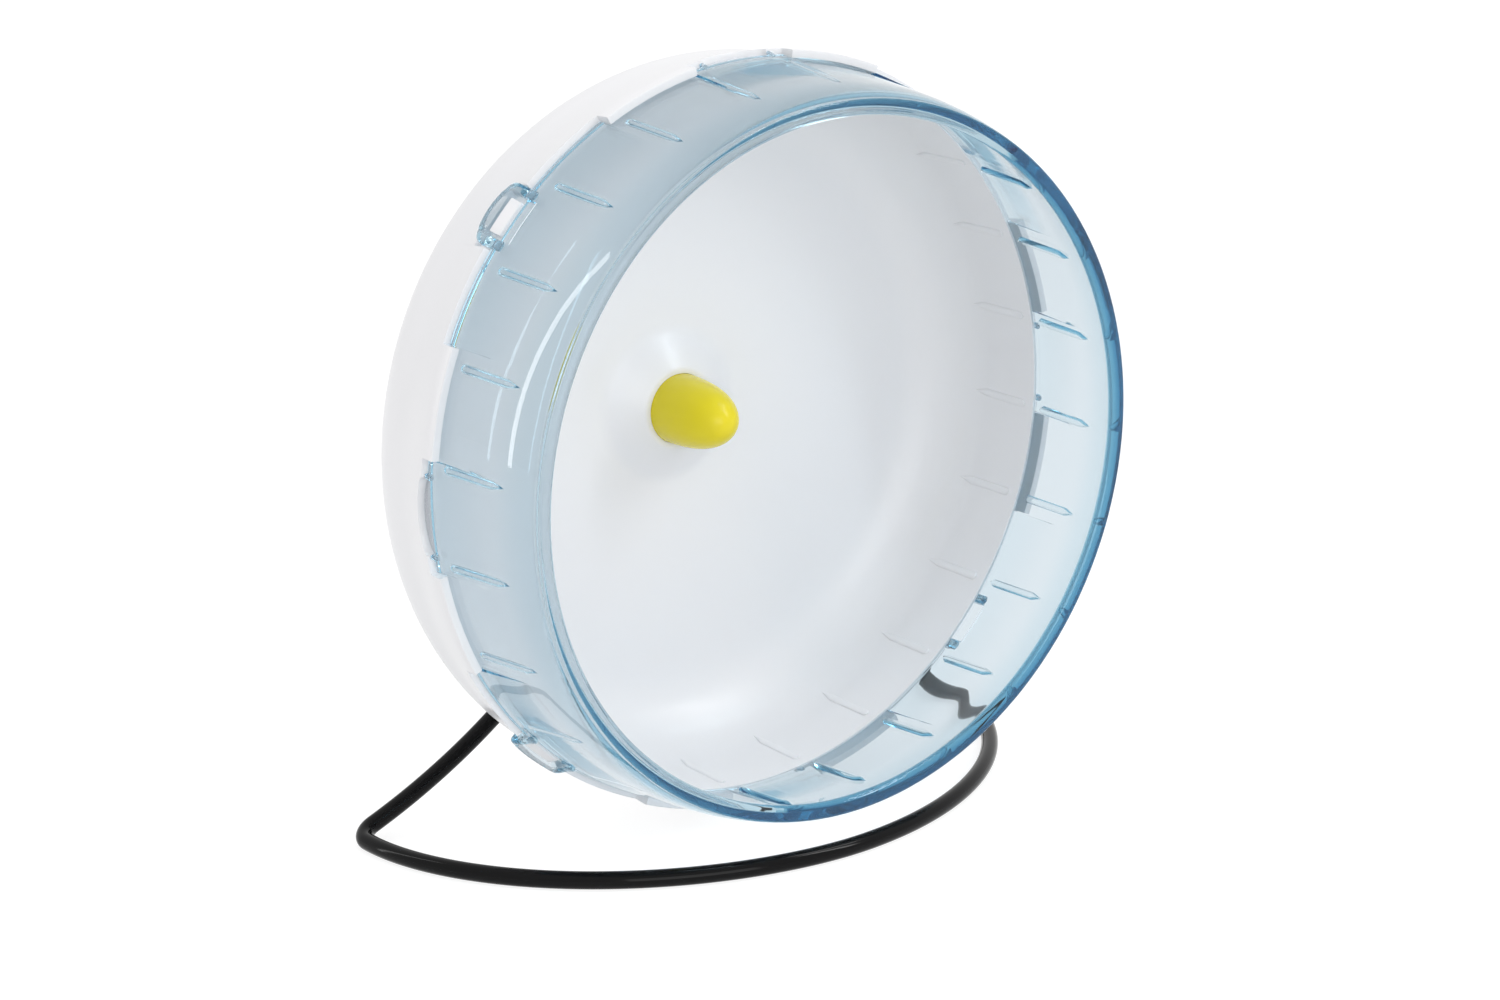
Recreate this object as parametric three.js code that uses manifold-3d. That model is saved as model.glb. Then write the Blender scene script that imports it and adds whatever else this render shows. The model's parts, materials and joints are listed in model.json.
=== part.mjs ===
// Hamster wheel: a clear blue front ring snapped on to a white back dish, turning on a steel axle that a
// bearing block carries behind the dish, on a stand bent from one wire. Millimetres, +Z up, +Y to the back.
import * as THREE from "three";
import { mergeVertices } from "three/addons/utils/BufferGeometryUtils.js";
import Module from "manifold-3d";

const wasm = await Module();
wasm.setup();

// Whole wheel. Places along the axle are measured back from the front face of the ring.
const seatGap = 0.3;
const overrun = 2;
const drumTurnDegrees = 1.8;
const drumFloorGap = 3.3;

// Fineness of round shapes, in facets or steps.
const drumFacets = 56;
const hubFacets = 28;
const pinFacets = 18;
const wireSides = 10;
const cornerFacets = 5;
const lipFacets = 4;
const edgeDivisions = 1;
const roundDivisions = 2;

// Front ring: rolled lip, rounded shoulder and a wall that opens towards the back.
const lipWidth = 5.9;
const lipThickness = 2.5;
const lipSetBack = 2.3;
const shoulderRounding = 3;
const ringFrontRadius = 101.1;
const ringBackRadius = 105;
const ringWall = 2;
const ringDepth = 43.2;

// Running ribs inside the ring, each pointed at the front and round at the back.
const ribCount = 24;
const ribWidth = 2.4;
const ribHeight = 1.2;
const ribLength = 24.4;
const ribSetBack = 4.2;
const ribPointLength = 5;
const ribRoot = 0.8;

// Tongues and tabs: the ring's fingers that reach back over the wall of the dish.
const fingerSets = 4;
const fingerRootLength = 6;
const fingerThickness = 1.8;
const tongueHalfWidth = 36.4;
const fingerReach = 3.6;
const tabHalfWidth = 15.5;
const fingerCorner = 2.5;

// Buckle on each tongue: a window for the catch, two posts and a strap behind the catch.
const windowHalfWidth = 6.6;
const windowBar = 1.5;
const postWidth = 2.6;
const postHeight = 4;
const strapWidth = 1.8;
const strapBulge = 1.4;
const strapThickness = 2.8;
const strapLift = 0.9;

// Nubs that stiffen the two ends of each tab.
const nubWidth = 2.2;
const nubInset = 1.4;
const nubHeight = 3;

// Back dish: wall, round corner and flat back plate.
const dishWall = 2;
const dishCornerRadius = 24.5;
const dishDraft = 0.3;
const dishDepth = 87;

// Skirt of the dish between the fingers, which laps over the outside of the ring.
const skirtThickness = 2.7;
const skirtLap = 4;
const skirtLength = 3.1;
const skirtSlope = 2.2;
const skirtRoot = 0.7;

// Snap catches on the wall of the dish, and the stop strips behind the tabs.
const catchHalfWidth = 5.2;
const catchLength = 3;
const catchHeight = 2.9;
const catchStart = 0.8;
const stopLength = 2;
const stopHeight = 2;
const stopHalfWidth = 11.5;

// Low ribs inside the wall of the dish, in line with those of the ring.
const dishRibHeight = 0.5;
const dishRibSetBack = 3.5;
const dishRibLength = 22;

// Cone boss in the middle of the back plate, with the seat and collar for the cap.
const bossRadius = 22;
const bossTopRadius = 11.7;
const bossRise = 6.5;
const capSeatDepth = 1.2;
const collarRadius = 7.4;
const collarLength = 5.7;
const hubTubeRadius = 7;
const hubTubeProud = 1;

// Egg-shaped cap over the front end of the axle.
const capRadius = 10.2;
const capLength = 24.5;
const capTipPower = 2.7;
const capSidePower = 2.1;
const capWall = 2.4;
const capBoreDepth = 13.4;

// Axle, its retaining ring, sleeve and washers.
const axleRadius = 3;
const axleNose = 1.3;
const axleChamfer = 0.5;
const ringGrooveDepth = 0.5;
const retainerThickness = 1;
const retainerRadius = 5;
const retainerSlotHalfWidth = 1.2;
const washerThickness = 1;
const frontWasherRadius = 5.9;
const rearWasherRadius = 6.5;
const sleeveWall = 1;
const axleShoulderRadius = 5;
const axleShoulderLength = 1.6;
const axleTail = 1.5;

// Bearing block: two halves clamped on the ends of the wire.
const blockHalfWidth = 18;
const blockBelow = 18;
const blockAbove = 17;
const blockCorner = 5;
const blockHalfThickness = 5.5;
const blockEdge = 0.8;

// Clamp screws and axle nut.
const screwRadius = 1.5;
const screwHeadRadius = 3;
const screwHeadHeight = 2.2;
const screwRise = 11.5;
const screwReach = 3.6;
const screwDriveRadius = 1.2;
const screwDriveDepth = 1.1;
const nutAcrossCorners = 11.5;
const nutHeight = 4;

// Wire stand: a floor loop bowed to the front, two corners and two legs up to the block.
const wireRadius = 2.5;
const restFlatDepth = 0.15;
const loopHalfWidth = 103;
const loopBow = 88.4;
const loopSetForward = 7.2;
const loopPower = 1.9;
const cornerRadius = 6;
const legRiseDegrees = 20.9;
const legLeanDegrees = 2;
const legLowerPull = 49;
const legUpperPull = 38;
const legSpacing = 22;
const legEnd = 12;
const loopSteps = 18;
const cornerSteps = 5;
const legSteps = 12;

// Places that follow from the sizes above.
const ringSlope = Math.atan2(ringBackRadius - ringFrontRadius, ringDepth - shoulderRounding);
const lipMouthRadius = ringFrontRadius - lipWidth;
const dishFront = ringDepth + seatGap;
const ribBack = ringDepth - ribSetBack;
const ribFront = ribBack - ribLength;
const fingerFront = ringDepth - fingerRootLength;
const windowFront = fingerFront + windowBar;
const skirtFront = dishFront - skirtLap;
const skirtBack = dishFront + skirtLength;
const dishRibFront = dishFront + dishRibSetBack;
const dishRibBack = dishRibFront + dishRibLength;
const ringOuterAt = (place) => ringFrontRadius + (place - shoulderRounding) * Math.tan(ringSlope);
const fingerInnerRadius = Math.max(ringBackRadius, ringOuterAt(fingerFront)) + seatGap;
const fingerOuterRadius = fingerInnerRadius + fingerThickness;
const fingerBack = ringDepth + fingerReach;
const catchFront = dishFront + seatGap;
const catchBack = catchFront + catchLength;
const strapFront = Math.max(fingerBack, catchBack) + seatGap;
const strapBack = strapFront + strapWidth;
const skirtRadius = fingerInnerRadius + skirtThickness;
const dishShoulderRadius = ringBackRadius - dishDraft;
const plateFront = dishDepth - dishWall;
const bossTop = plateFront - bossRise;
const capSeat = bossTop + capSeatDepth;
const collarFront = capSeat - collarLength;
const boreRadius = axleRadius + seatGap;
const sleeveRadius = boreRadius + sleeveWall;
const hubBoreRadius = sleeveRadius + seatGap;
const retainerBack = collarFront + seatGap / 2;
const retainerFront = retainerBack - retainerThickness;
const frontWasherFront = retainerBack + seatGap;
const sleeveFront = frontWasherFront + washerThickness + seatGap;
const hubTubeBack = dishDepth + hubTubeProud;
const rearWasherFront = hubTubeBack + seatGap;
const axleShoulderFront = rearWasherFront + washerThickness + seatGap;
const blockFront = axleShoulderFront + axleShoulderLength + seatGap;
const blockMiddle = blockFront + blockHalfThickness;
const blockBack = blockMiddle + blockHalfThickness;
const nutFront = blockBack + seatGap;
const axleBack = nutFront + nutHeight + axleTail;
const axleFront = retainerFront - seatGap - axleNose;
const floorLine = wireRadius - restFlatDepth;
const loopBack = blockMiddle - loopSetForward;
const snapRadius = Math.max(skirtRadius, fingerOuterRadius, fingerInnerRadius + postHeight);
const axleHeight = Math.max(snapRadius + drumFloorGap, ringFrontRadius + wireRadius * 2 + seatGap);

const radians = THREE.MathUtils.degToRad;
const point = (radius, place) => new THREE.Vector2(radius, place);

// Closed triangle mesh of a geometry as a solid that can be joined and cut.
function solidOf(geometry) {
  const bare = geometry.clone();
  bare.deleteAttribute("normal");
  bare.deleteAttribute("uv");
  const merged = mergeVertices(bare);
  const corners = merged.index.array;
  const kept = [];
  for (let i = 0; i < corners.length; i += 3) {
    const [a, b, c] = corners.slice(i, i + 3);
    if (a !== b && b !== c && c !== a) kept.push(a, b, c);
  }
  const vertProperties = merged.attributes.position.array;
  return new wasm.Manifold(new wasm.Mesh({ numProp: 3, vertProperties, triVerts: new Uint32Array(kept) }));
}

function geometryOf(solid) {
  const { vertProperties, triVerts } = solid.getMesh();
  const geometry = new THREE.BufferGeometry();
  geometry.setAttribute("position", new THREE.BufferAttribute(vertProperties, 3));
  geometry.setIndex(new THREE.BufferAttribute(triVerts, 1));
  return geometry;
}

const joined = (solids) => solids.reduce((all, next) => all.add(next));
const cut = (solid, tools) => tools.reduce((rest, tool) => rest.subtract(tool), solid);

// Ring of material: a closed outline of (radius, place along the axle) turned round the axle. The outline
// runs from the front along the outside to the back, and returns along the inside.
function revolved(outline, facets) {
  const area = THREE.ShapeUtils.area(outline);
  const ordered = area > 0 ? outline : [...outline].reverse();
  return new THREE.LatheGeometry([...ordered, ordered[0]], facets);
}

// Arc of outline points about a centre, from one angle to another, both in degrees.
function arcPoints(radius, place, size, from, to, facets) {
  const at = (i) => radians(from + ((to - from) * i) / facets);
  return Array.from({ length: facets + 1 }, (_, i) =>
    point(radius + size * Math.cos(at(i)), place + size * Math.sin(at(i))),
  );
}

function shapeOf(points) {
  return new THREE.Shape(points);
}

// Outline in the plane across the axle (side, up), carried along the axle.
function alongAxle(shape, front, back) {
  const options = { depth: back - front, bevelEnabled: false, curveSegments: roundDivisions };
  return new THREE.ExtrudeGeometry(shape, options).rotateX(Math.PI / 2).translate(0, back, 0);
}

// Outline laid on the drum at its top (side, place along the axle), carried outwards.
function outwards(shape, inner, outer, curveSegments = edgeDivisions) {
  const options = { depth: outer - inner, bevelEnabled: false, curveSegments };
  return new THREE.ExtrudeGeometry(shape, options).translate(0, 0, inner);
}

// Outline seen from the side (place along the axle, radius), carried across the drum's top.
function across(shape, halfWidth) {
  const turn = new THREE.Matrix4().set(0, 0, 1, -halfWidth, 1, 0, 0, 0, 0, 1, 0, 0, 0, 0, 0, 1);
  return new THREE.ExtrudeGeometry(shape, { depth: halfWidth * 2, bevelEnabled: false }).applyMatrix4(turn);
}

// Copies of a geometry made at the drum's top, turned to evenly spaced places round the axle.
function aroundAxle(geometry, count, startDegrees) {
  const solids = [];
  for (let i = 0; i < count; i += 1) {
    const turn = radians(90 - startDegrees - (i * 360) / count);
    solids.push(solidOf(geometry.clone().rotateY(turn)));
  }
  return solids;
}

function rectangle(halfWidth, front, back) {
  return shapeOf([
    point(-halfWidth, front),
    point(halfWidth, front),
    point(halfWidth, back),
    point(-halfWidth, back),
  ]);
}

function roundedRectangle(left, right, low, high, rounding) {
  const shape = new THREE.Shape();
  shape.moveTo(left + rounding, low);
  shape.absarc(right - rounding, low + rounding, rounding, -Math.PI / 2, 0);
  shape.absarc(right - rounding, high - rounding, rounding, 0, Math.PI / 2);
  shape.absarc(left + rounding, high - rounding, rounding, Math.PI / 2, Math.PI);
  shape.absarc(left + rounding, low + rounding, rounding, Math.PI, Math.PI * 1.5);
  return shape;
}

// Pin or bore: a plain round bar along the axle.
function bar(radius, front, back, facets) {
  return revolved([point(0, front), point(radius, front), point(radius, back), point(0, back)], facets);
}

// Angles round the axle, anticlockwise from the right as seen from the front.
const ribStart = 180 / ribCount;
const tabStart = 0;
const tongueStart = 180 / fingerSets;

// Finger outline with round back corners. A clearance makes the pocket that it lies in.
function fingerOutline(halfWidth, clearance) {
  const wide = halfWidth + clearance;
  const front = fingerFront - clearance;
  const back = fingerBack + clearance;
  const shape = new THREE.Shape();
  shape.moveTo(-wide, front);
  shape.lineTo(wide, front);
  shape.absarc(wide - fingerCorner, back - fingerCorner, fingerCorner, 0, Math.PI / 2);
  shape.absarc(-wide + fingerCorner, back - fingerCorner, fingerCorner, Math.PI / 2, Math.PI);
  return shape;
}

const innerReach = Math.min(ringBackRadius, ringOuterAt(fingerFront)) - ringWall - overrun;
const outerReach = snapRadius + overrun;

function fingerZones(clearance) {
  const tongue = outwards(fingerOutline(tongueHalfWidth, clearance), innerReach, outerReach);
  const tab = outwards(fingerOutline(tabHalfWidth, clearance), innerReach, outerReach);
  return [...aroundAxle(tongue, fingerSets, tongueStart), ...aroundAxle(tab, fingerSets, tabStart)];
}

// Front ring
function ringOutline() {
  const centre = ringFrontRadius - shoulderRounding;
  const lipHalf = lipThickness / 2;
  const lipCentre = lipMouthRadius + lipHalf;
  const wallFront = lipSetBack + lipHalf;
  const innerFront = ringFrontRadius - ringWall;
  return [
    ...arcPoints(lipCentre, lipSetBack, lipHalf, 90, 240, lipFacets),
    ...arcPoints(centre, shoulderRounding, shoulderRounding, 270, 360, lipFacets),
    point(ringBackRadius, ringDepth),
    point(ringBackRadius - ringWall, ringDepth),
    point(innerFront + (wallFront + ringWall) * Math.tan(ringSlope), wallFront + ringWall),
    point(innerFront - ringWall / 2, wallFront + ringWall / 4),
  ];
}

function ringRib() {
  const length = ribBack - ribFront;
  const half = ribWidth / 2;
  const shape = new THREE.Shape();
  shape.moveTo(0, -length / 2);
  shape.lineTo(half, ribPointLength - length / 2);
  shape.absarc(0, length / 2 - half, half, 0, Math.PI);
  shape.lineTo(-half, ribPointLength - length / 2);
  const middle = (ribFront + ribBack) / 2;
  const inner = ringOuterAt(middle) - ringWall;
  const rib = outwards(shape, -ribHeight, ribRoot, roundDivisions);
  return rib.rotateX(ringSlope).translate(0, middle, inner);
}

// Band that the fingers are cut from: rooted in the ring's wall, and clear of the dish behind it.
function fingerBand() {
  return revolved(
    [
      point(fingerOuterRadius, fingerFront),
      point(fingerOuterRadius, fingerBack),
      point(fingerInnerRadius, fingerBack),
      point(fingerInnerRadius, ringDepth),
      point(ringBackRadius - ringWall / 2, ringDepth),
      point(ringOuterAt(fingerFront) - ringWall / 2, fingerFront),
    ],
    drumFacets,
  );
}

function buckle() {
  const postTop = fingerInnerRadius + postHeight;
  const parts = [-1, 1].map((side) => {
    const near = side * windowHalfWidth;
    const far = near + side * postWidth;
    const [left, right] = [Math.min(near, far), Math.max(near, far)];
    const outline = roundedRectangle(left, right, fingerFront, strapBack, postWidth / 3);
    return solidOf(outwards(outline, fingerInnerRadius, postTop));
  });
  const end = windowHalfWidth + postWidth / 2;
  const strap = new THREE.Shape();
  strap.moveTo(-end, strapFront);
  strap.lineTo(end, strapFront);
  strap.lineTo(end, strapBack);
  strap.quadraticCurveTo(0, strapBack + strapBulge * 2, -end, strapBack);
  const inner = fingerInnerRadius + strapLift;
  return joined([...parts, solidOf(outwards(strap, inner, inner + strapThickness, cornerFacets))]);
}

function nubs() {
  return [-1, 1].map((side) => {
    const middle = side * (tabHalfWidth - nubInset - nubWidth / 2);
    const [left, right] = [middle - nubWidth / 2, middle + nubWidth / 2];
    const outline = roundedRectangle(left, right, fingerFront + nubInset, fingerBack, nubWidth / 3);
    return outwards(outline, fingerInnerRadius, fingerInnerRadius + nubHeight);
  });
}

function frontRing() {
  const wall = solidOf(revolved(ringOutline(), drumFacets));
  const ribs = aroundAxle(ringRib(), ribCount, ribStart);
  const fingers = solidOf(fingerBand()).intersect(joined(fingerZones(0)));
  const windowShape = rectangle(windowHalfWidth, windowFront, fingerBack + overrun);
  const windows = aroundAxle(outwards(windowShape, innerReach, outerReach), fingerSets, tongueStart);
  const buckles = aroundAxle(geometryOf(buckle()), fingerSets, tongueStart);
  const ends = nubs().flatMap((nub) => aroundAxle(nub, fingerSets, tabStart));
  return joined([wall, cut(fingers, windows), ...ribs, ...buckles, ...ends]);
}

// Back dish
const cornerCentreRadius = dishShoulderRadius - dishCornerRadius;
const cornerCentrePlace = dishDepth - dishCornerRadius;

function dishOutline() {
  const inner = dishCornerRadius - dishWall;
  return [
    point(ringBackRadius, dishFront),
    ...arcPoints(cornerCentreRadius, cornerCentrePlace, dishCornerRadius, 0, 90, cornerFacets),
    point(bossRadius - overrun, dishDepth),
    point(bossRadius - overrun, plateFront),
    ...arcPoints(cornerCentreRadius, cornerCentrePlace, inner, 90, 0, cornerFacets),
    point(ringBackRadius - dishWall, dishFront),
  ];
}

function bossOutline() {
  const seatRadius = capRadius + seatGap;
  const washerBore = frontWasherRadius + seatGap;
  return [
    point(hubBoreRadius, sleeveFront),
    point(washerBore, sleeveFront),
    point(washerBore, collarFront),
    point(collarRadius, collarFront),
    point(collarRadius, capSeat),
    point(seatRadius, capSeat),
    point(seatRadius, bossTop),
    point(bossTopRadius, bossTop),
    point(bossRadius, plateFront),
    point(bossRadius, dishDepth),
    point(bossRadius - dishWall / 2, dishDepth),
    point(bossTopRadius - dishWall / 2, capSeat + dishWall),
    point(hubTubeRadius, capSeat + dishWall),
    point(hubTubeRadius, hubTubeBack),
    point(hubBoreRadius, hubTubeBack),
  ];
}

// Skirt band: laps over the ring in front, and slopes down to the wall behind.
function skirtBand() {
  const root = ringBackRadius - skirtRoot;
  return revolved(
    [
      point(skirtRadius, skirtFront),
      point(skirtRadius, skirtBack),
      point(root, skirtBack + skirtSlope),
      point(root, dishFront),
      point(fingerInnerRadius, dishFront),
      point(fingerInnerRadius, skirtFront),
    ],
    drumFacets,
  );
}

// Pocket round each finger, open to the back so that the skirt ends in front of the fingers' sides.
function skirtPockets() {
  const back = skirtBack + skirtSlope + overrun;
  const front = skirtFront - overrun;
  const pocket = (halfWidth) =>
    outwards(rectangle(halfWidth + seatGap, front, back), innerReach, outerReach);
  return [
    ...aroundAxle(pocket(tongueHalfWidth), fingerSets, tongueStart),
    ...aroundAxle(pocket(tabHalfWidth), fingerSets, tabStart),
  ];
}

function snapCatch() {
  const root = ringBackRadius - skirtRoot;
  const profile = shapeOf([
    point(catchFront, root),
    point(catchBack, root),
    point(catchBack, ringBackRadius + catchHeight),
    point(catchFront, ringBackRadius + catchStart),
  ]);
  return across(profile, catchHalfWidth);
}

function stopStrip() {
  const root = ringBackRadius - skirtRoot;
  const front = fingerBack + seatGap;
  return alongAxle(bandShape(root, ringBackRadius + stopHeight, stopHalfWidth), front, front + stopLength);
}

// Piece of a ring seen along the axle, at its top, between two radii.
function bandShape(inner, outer, halfWidth) {
  const halfAngle = Math.asin(halfWidth / inner);
  const shape = new THREE.Shape();
  shape.absarc(0, 0, outer, Math.PI / 2 - halfAngle, Math.PI / 2 + halfAngle);
  shape.absarc(0, 0, inner, Math.PI / 2 + halfAngle, Math.PI / 2 - halfAngle, true);
  return shape;
}

// Low ribs: a thin lining of the wall, kept only in narrow lanes.
function dishRibs() {
  const outer = dishCornerRadius - dishWall / 2;
  const inner = dishCornerRadius - dishWall - dishRibHeight;
  const straight = ringBackRadius - dishWall;
  const reach = ringBackRadius + overrun;
  const lining = revolved(
    [
      point(straight + dishWall / 2, dishRibFront),
      ...arcPoints(cornerCentreRadius, cornerCentrePlace, outer, 0, 45, cornerFacets / 2),
      ...arcPoints(cornerCentreRadius, cornerCentrePlace, inner, 45, 0, cornerFacets / 2),
      point(straight - dishRibHeight, dishRibFront),
    ],
    drumFacets,
  );
  const half = ribWidth / 2;
  const lane = new THREE.Shape();
  lane.absarc(0, dishRibFront + half, half, Math.PI, Math.PI * 2);
  lane.lineTo(half, dishRibBack - ribPointLength);
  lane.lineTo(0, dishRibBack);
  lane.lineTo(-half, dishRibBack - ribPointLength);
  const lanes = aroundAxle(outwards(lane, cornerCentreRadius, reach), ribCount, ribStart);
  return solidOf(lining).intersect(joined(lanes));
}

function backDish() {
  const bowl = solidOf(revolved(dishOutline(), drumFacets));
  const boss = solidOf(revolved(bossOutline(), hubFacets));
  const skirt = cut(solidOf(skirtBand()), skirtPockets());
  const catches = aroundAxle(snapCatch(), fingerSets, tongueStart);
  const strips = aroundAxle(stopStrip(), fingerSets, tabStart);
  return joined([bowl, boss, skirt, dishRibs(), ...catches, ...strips]);
}

// Hub cap: its radius follows a rounded power curve from the base to the tip.
function hubCap() {
  const base = capSeat - seatGap;
  const facets = cornerFacets * 2;
  const outside = Array.from({ length: facets + 1 }, (_, i) => {
    const turn = (i / facets) * (Math.PI / 2);
    const forward = Math.sin(turn) ** (2 / capTipPower);
    return point(capRadius * Math.cos(turn) ** (2 / capSidePower), base - capLength * forward);
  });
  outside[facets].x = 0;
  const bore = collarRadius + seatGap;
  const inner = base - capBoreDepth;
  const inside = [
    point(0, inner),
    point(bore - capWall / 2, inner),
    point(bore, inner + capWall / 2),
    point(bore, base),
  ];
  return revolved([...outside, ...inside], hubFacets);
}

function washer(radius, front) {
  const back = front + washerThickness;
  return revolved(
    [point(boreRadius, front), point(radius, front), point(radius, back), point(boreRadius, back)],
    pinFacets,
  );
}

function hubSleeve() {
  return revolved(
    [
      point(boreRadius, sleeveFront),
      point(sleeveRadius, sleeveFront),
      point(sleeveRadius, hubTubeBack),
      point(boreRadius, hubTubeBack),
    ],
    pinFacets,
  );
}

function axle() {
  const groove = axleRadius - ringGrooveDepth;
  return revolved(
    [
      point(0, axleFront),
      point(axleRadius - axleChamfer, axleFront),
      point(axleRadius, axleFront + axleChamfer),
      point(axleRadius, retainerFront - seatGap),
      point(groove, retainerFront - seatGap),
      point(groove, retainerBack + seatGap),
      point(axleRadius, retainerBack + seatGap),
      point(axleRadius, axleShoulderFront),
      point(axleShoulderRadius, axleShoulderFront),
      point(axleShoulderRadius, axleShoulderFront + axleShoulderLength),
      point(axleRadius, axleShoulderFront + axleShoulderLength),
      point(axleRadius, axleBack - axleChamfer),
      point(axleRadius - axleChamfer, axleBack),
      point(0, axleBack),
    ],
    pinFacets,
  );
}

// Retaining ring: an open spring clip pushed into the groove from below.
function retainingRing() {
  const inner = axleRadius - ringGrooveDepth + seatGap;
  const clip = revolved(
    [
      point(inner, retainerFront),
      point(retainerRadius, retainerFront),
      point(retainerRadius, retainerBack),
      point(inner, retainerBack),
    ],
    pinFacets,
  );
  const mouth = shapeOf([
    point(-retainerSlotHalfWidth, -retainerRadius - overrun),
    point(retainerSlotHalfWidth, -retainerRadius - overrun),
    point(retainerSlotHalfWidth, 0),
    point(-retainerSlotHalfWidth, 0),
  ]);
  return cut(solidOf(clip), [solidOf(alongAxle(mouth, retainerFront - overrun, retainerBack + overrun))]);
}

// Bearing block: both halves share one outline, the channels of the wire and the holes.
function blockHalf(front, back) {
  const full = roundedRectangle(-blockHalfWidth, blockHalfWidth, -blockBelow, blockAbove, blockCorner);
  const inset = roundedRectangle(
    blockEdge - blockHalfWidth,
    blockHalfWidth - blockEdge,
    blockEdge - blockBelow,
    blockAbove - blockEdge,
    blockCorner - blockEdge,
  );
  const outerFace = front < blockMiddle - blockHalfThickness / 2 ? front : back;
  const [low, high] = outerFace === front ? [front + blockEdge, back] : [front, back - blockEdge];
  const body = joined([solidOf(alongAxle(full, low, high)), solidOf(alongAxle(inset, front, back))]);
  const channel = wireRadius + seatGap;
  const length = blockBelow + overrun + legEnd + seatGap;
  const middle = legEnd + seatGap - length / 2;
  const channels = [-1, 1].map((side) => {
    const rod = new THREE.CylinderGeometry(channel, channel, length, wireSides * 2);
    return solidOf(rod.rotateX(Math.PI / 2).translate((side * legSpacing) / 2, blockMiddle, middle));
  });
  const axleHole = solidOf(bar(boreRadius, front - overrun, back + overrun, pinFacets));
  return cut(body, [...channels, axleHole, ...screwHoles()]);
}

function screwHoles() {
  const radius = screwRadius + seatGap;
  const front = blockMiddle - screwReach - seatGap;
  return [-1, 1].map((side) =>
    solidOf(bar(radius, front, blockBack + overrun, pinFacets / 2).translate(0, 0, side * screwRise)),
  );
}

function clampScrew() {
  const headFront = blockBack + seatGap;
  const headBack = headFront + screwHeadHeight;
  const profile = [
    point(0, blockMiddle - screwReach),
    point(screwRadius, blockMiddle - screwReach),
    point(screwRadius, headFront),
    point(screwHeadRadius, headFront),
    point(screwHeadRadius, headBack - axleChamfer),
    point(screwHeadRadius - axleChamfer, headBack),
    point(0, headBack),
  ];
  const drive = bar(screwDriveRadius, headBack - screwDriveDepth, headBack + overrun, cornerFacets);
  return cut(solidOf(revolved(profile, pinFacets / 2)), [solidOf(drive)]);
}

function axleNut() {
  const hexagon = bar(nutAcrossCorners / 2, nutFront, nutFront + nutHeight, 6);
  const hole = bar(boreRadius, nutFront - overrun, nutFront + nutHeight + overrun, pinFacets);
  return cut(solidOf(hexagon), [solidOf(hole)]);
}

// Path through given points, one step of the sweep to each.
class WirePath extends THREE.Curve {
  constructor(points) {
    super();
    this.points = points;
  }

  getPoint(share) {
    const place = share * (this.points.length - 1);
    const index = Math.min(Math.round(place), this.points.length - 1);
    return this.points[index].clone();
  }

  getPointAt(share) {
    return this.getPoint(share);
  }

  getTangentAt(share) {
    const index = Math.round(share * (this.points.length - 1));
    const before = this.points[Math.max(index - 1, 0)];
    const after = this.points[Math.min(index + 1, this.points.length - 1)];
    return after.clone().sub(before).normalize();
  }
}

// Right half of the wire, from the front of the floor loop up to its end in the block.
function halfWire() {
  const points = [];
  for (let i = 0; i <= loopSteps; i += 1) {
    const turn = (i / loopSteps) * (Math.PI / 2);
    const side = loopHalfWidth * Math.sin(turn) ** (2 / loopPower);
    const back = loopBack - loopBow * Math.cos(turn) ** (2 / loopPower);
    points.push(new THREE.Vector3(side, i === loopSteps ? loopBack : back, floorLine));
  }
  const rise = radians(legRiseDegrees);
  const lean = radians(legLeanDegrees);
  const along = new THREE.Vector3(0, 1, 0);
  const leg = new THREE.Vector3(-Math.cos(rise), 0, Math.sin(rise)).multiplyScalar(Math.cos(lean));
  leg.addScaledVector(along, Math.sin(lean));
  const inward = leg.clone().addScaledVector(along, -leg.dot(along)).normalize();
  const sweep = Math.acos(leg.dot(along));
  const start = points[loopSteps];
  for (let i = 1; i <= cornerSteps; i += 1) {
    const turn = (sweep * i) / cornerSteps;
    const next = start.clone().addScaledVector(along, cornerRadius * Math.sin(turn));
    points.push(next.addScaledVector(inward, cornerRadius * (1 - Math.cos(turn))));
  }
  const foot = points[points.length - 1];
  const top = new THREE.Vector3(legSpacing / 2, blockMiddle, axleHeight - blockBelow);
  const lowerPull = foot.clone().addScaledVector(leg, legLowerPull);
  const upperPull = top.clone().setZ(top.z - legUpperPull);
  const curve = new THREE.CubicBezierCurve3(foot, lowerPull, upperPull, top);
  for (let i = 1; i <= legSteps; i += 1) points.push(curve.getPointAt(i / legSteps));
  points.push(new THREE.Vector3(legSpacing / 2, blockMiddle, axleHeight + legEnd));
  return points;
}

function wireStand() {
  const right = halfWire();
  const left = right.slice(1).map((p) => new THREE.Vector3(-p.x, p.y, p.z));
  const points = [...left.reverse(), ...right];
  const section = new THREE.Shape();
  section.absarc(0, 0, wireRadius, 0, Math.PI * 2);
  const options = {
    steps: points.length - 1,
    extrudePath: new WirePath(points),
    curveSegments: wireSides / 2,
    bevelEnabled: false,
  };
  const wire = new THREE.ExtrudeGeometry(section, options);
  const reach = (loopHalfWidth + cornerRadius + overrun) * 2;
  const below = new THREE.BoxGeometry(reach, reach, overrun * 2).translate(0, loopBack / 2, -overrun);
  return cut(solidOf(wire), [solidOf(below)]);
}

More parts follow.
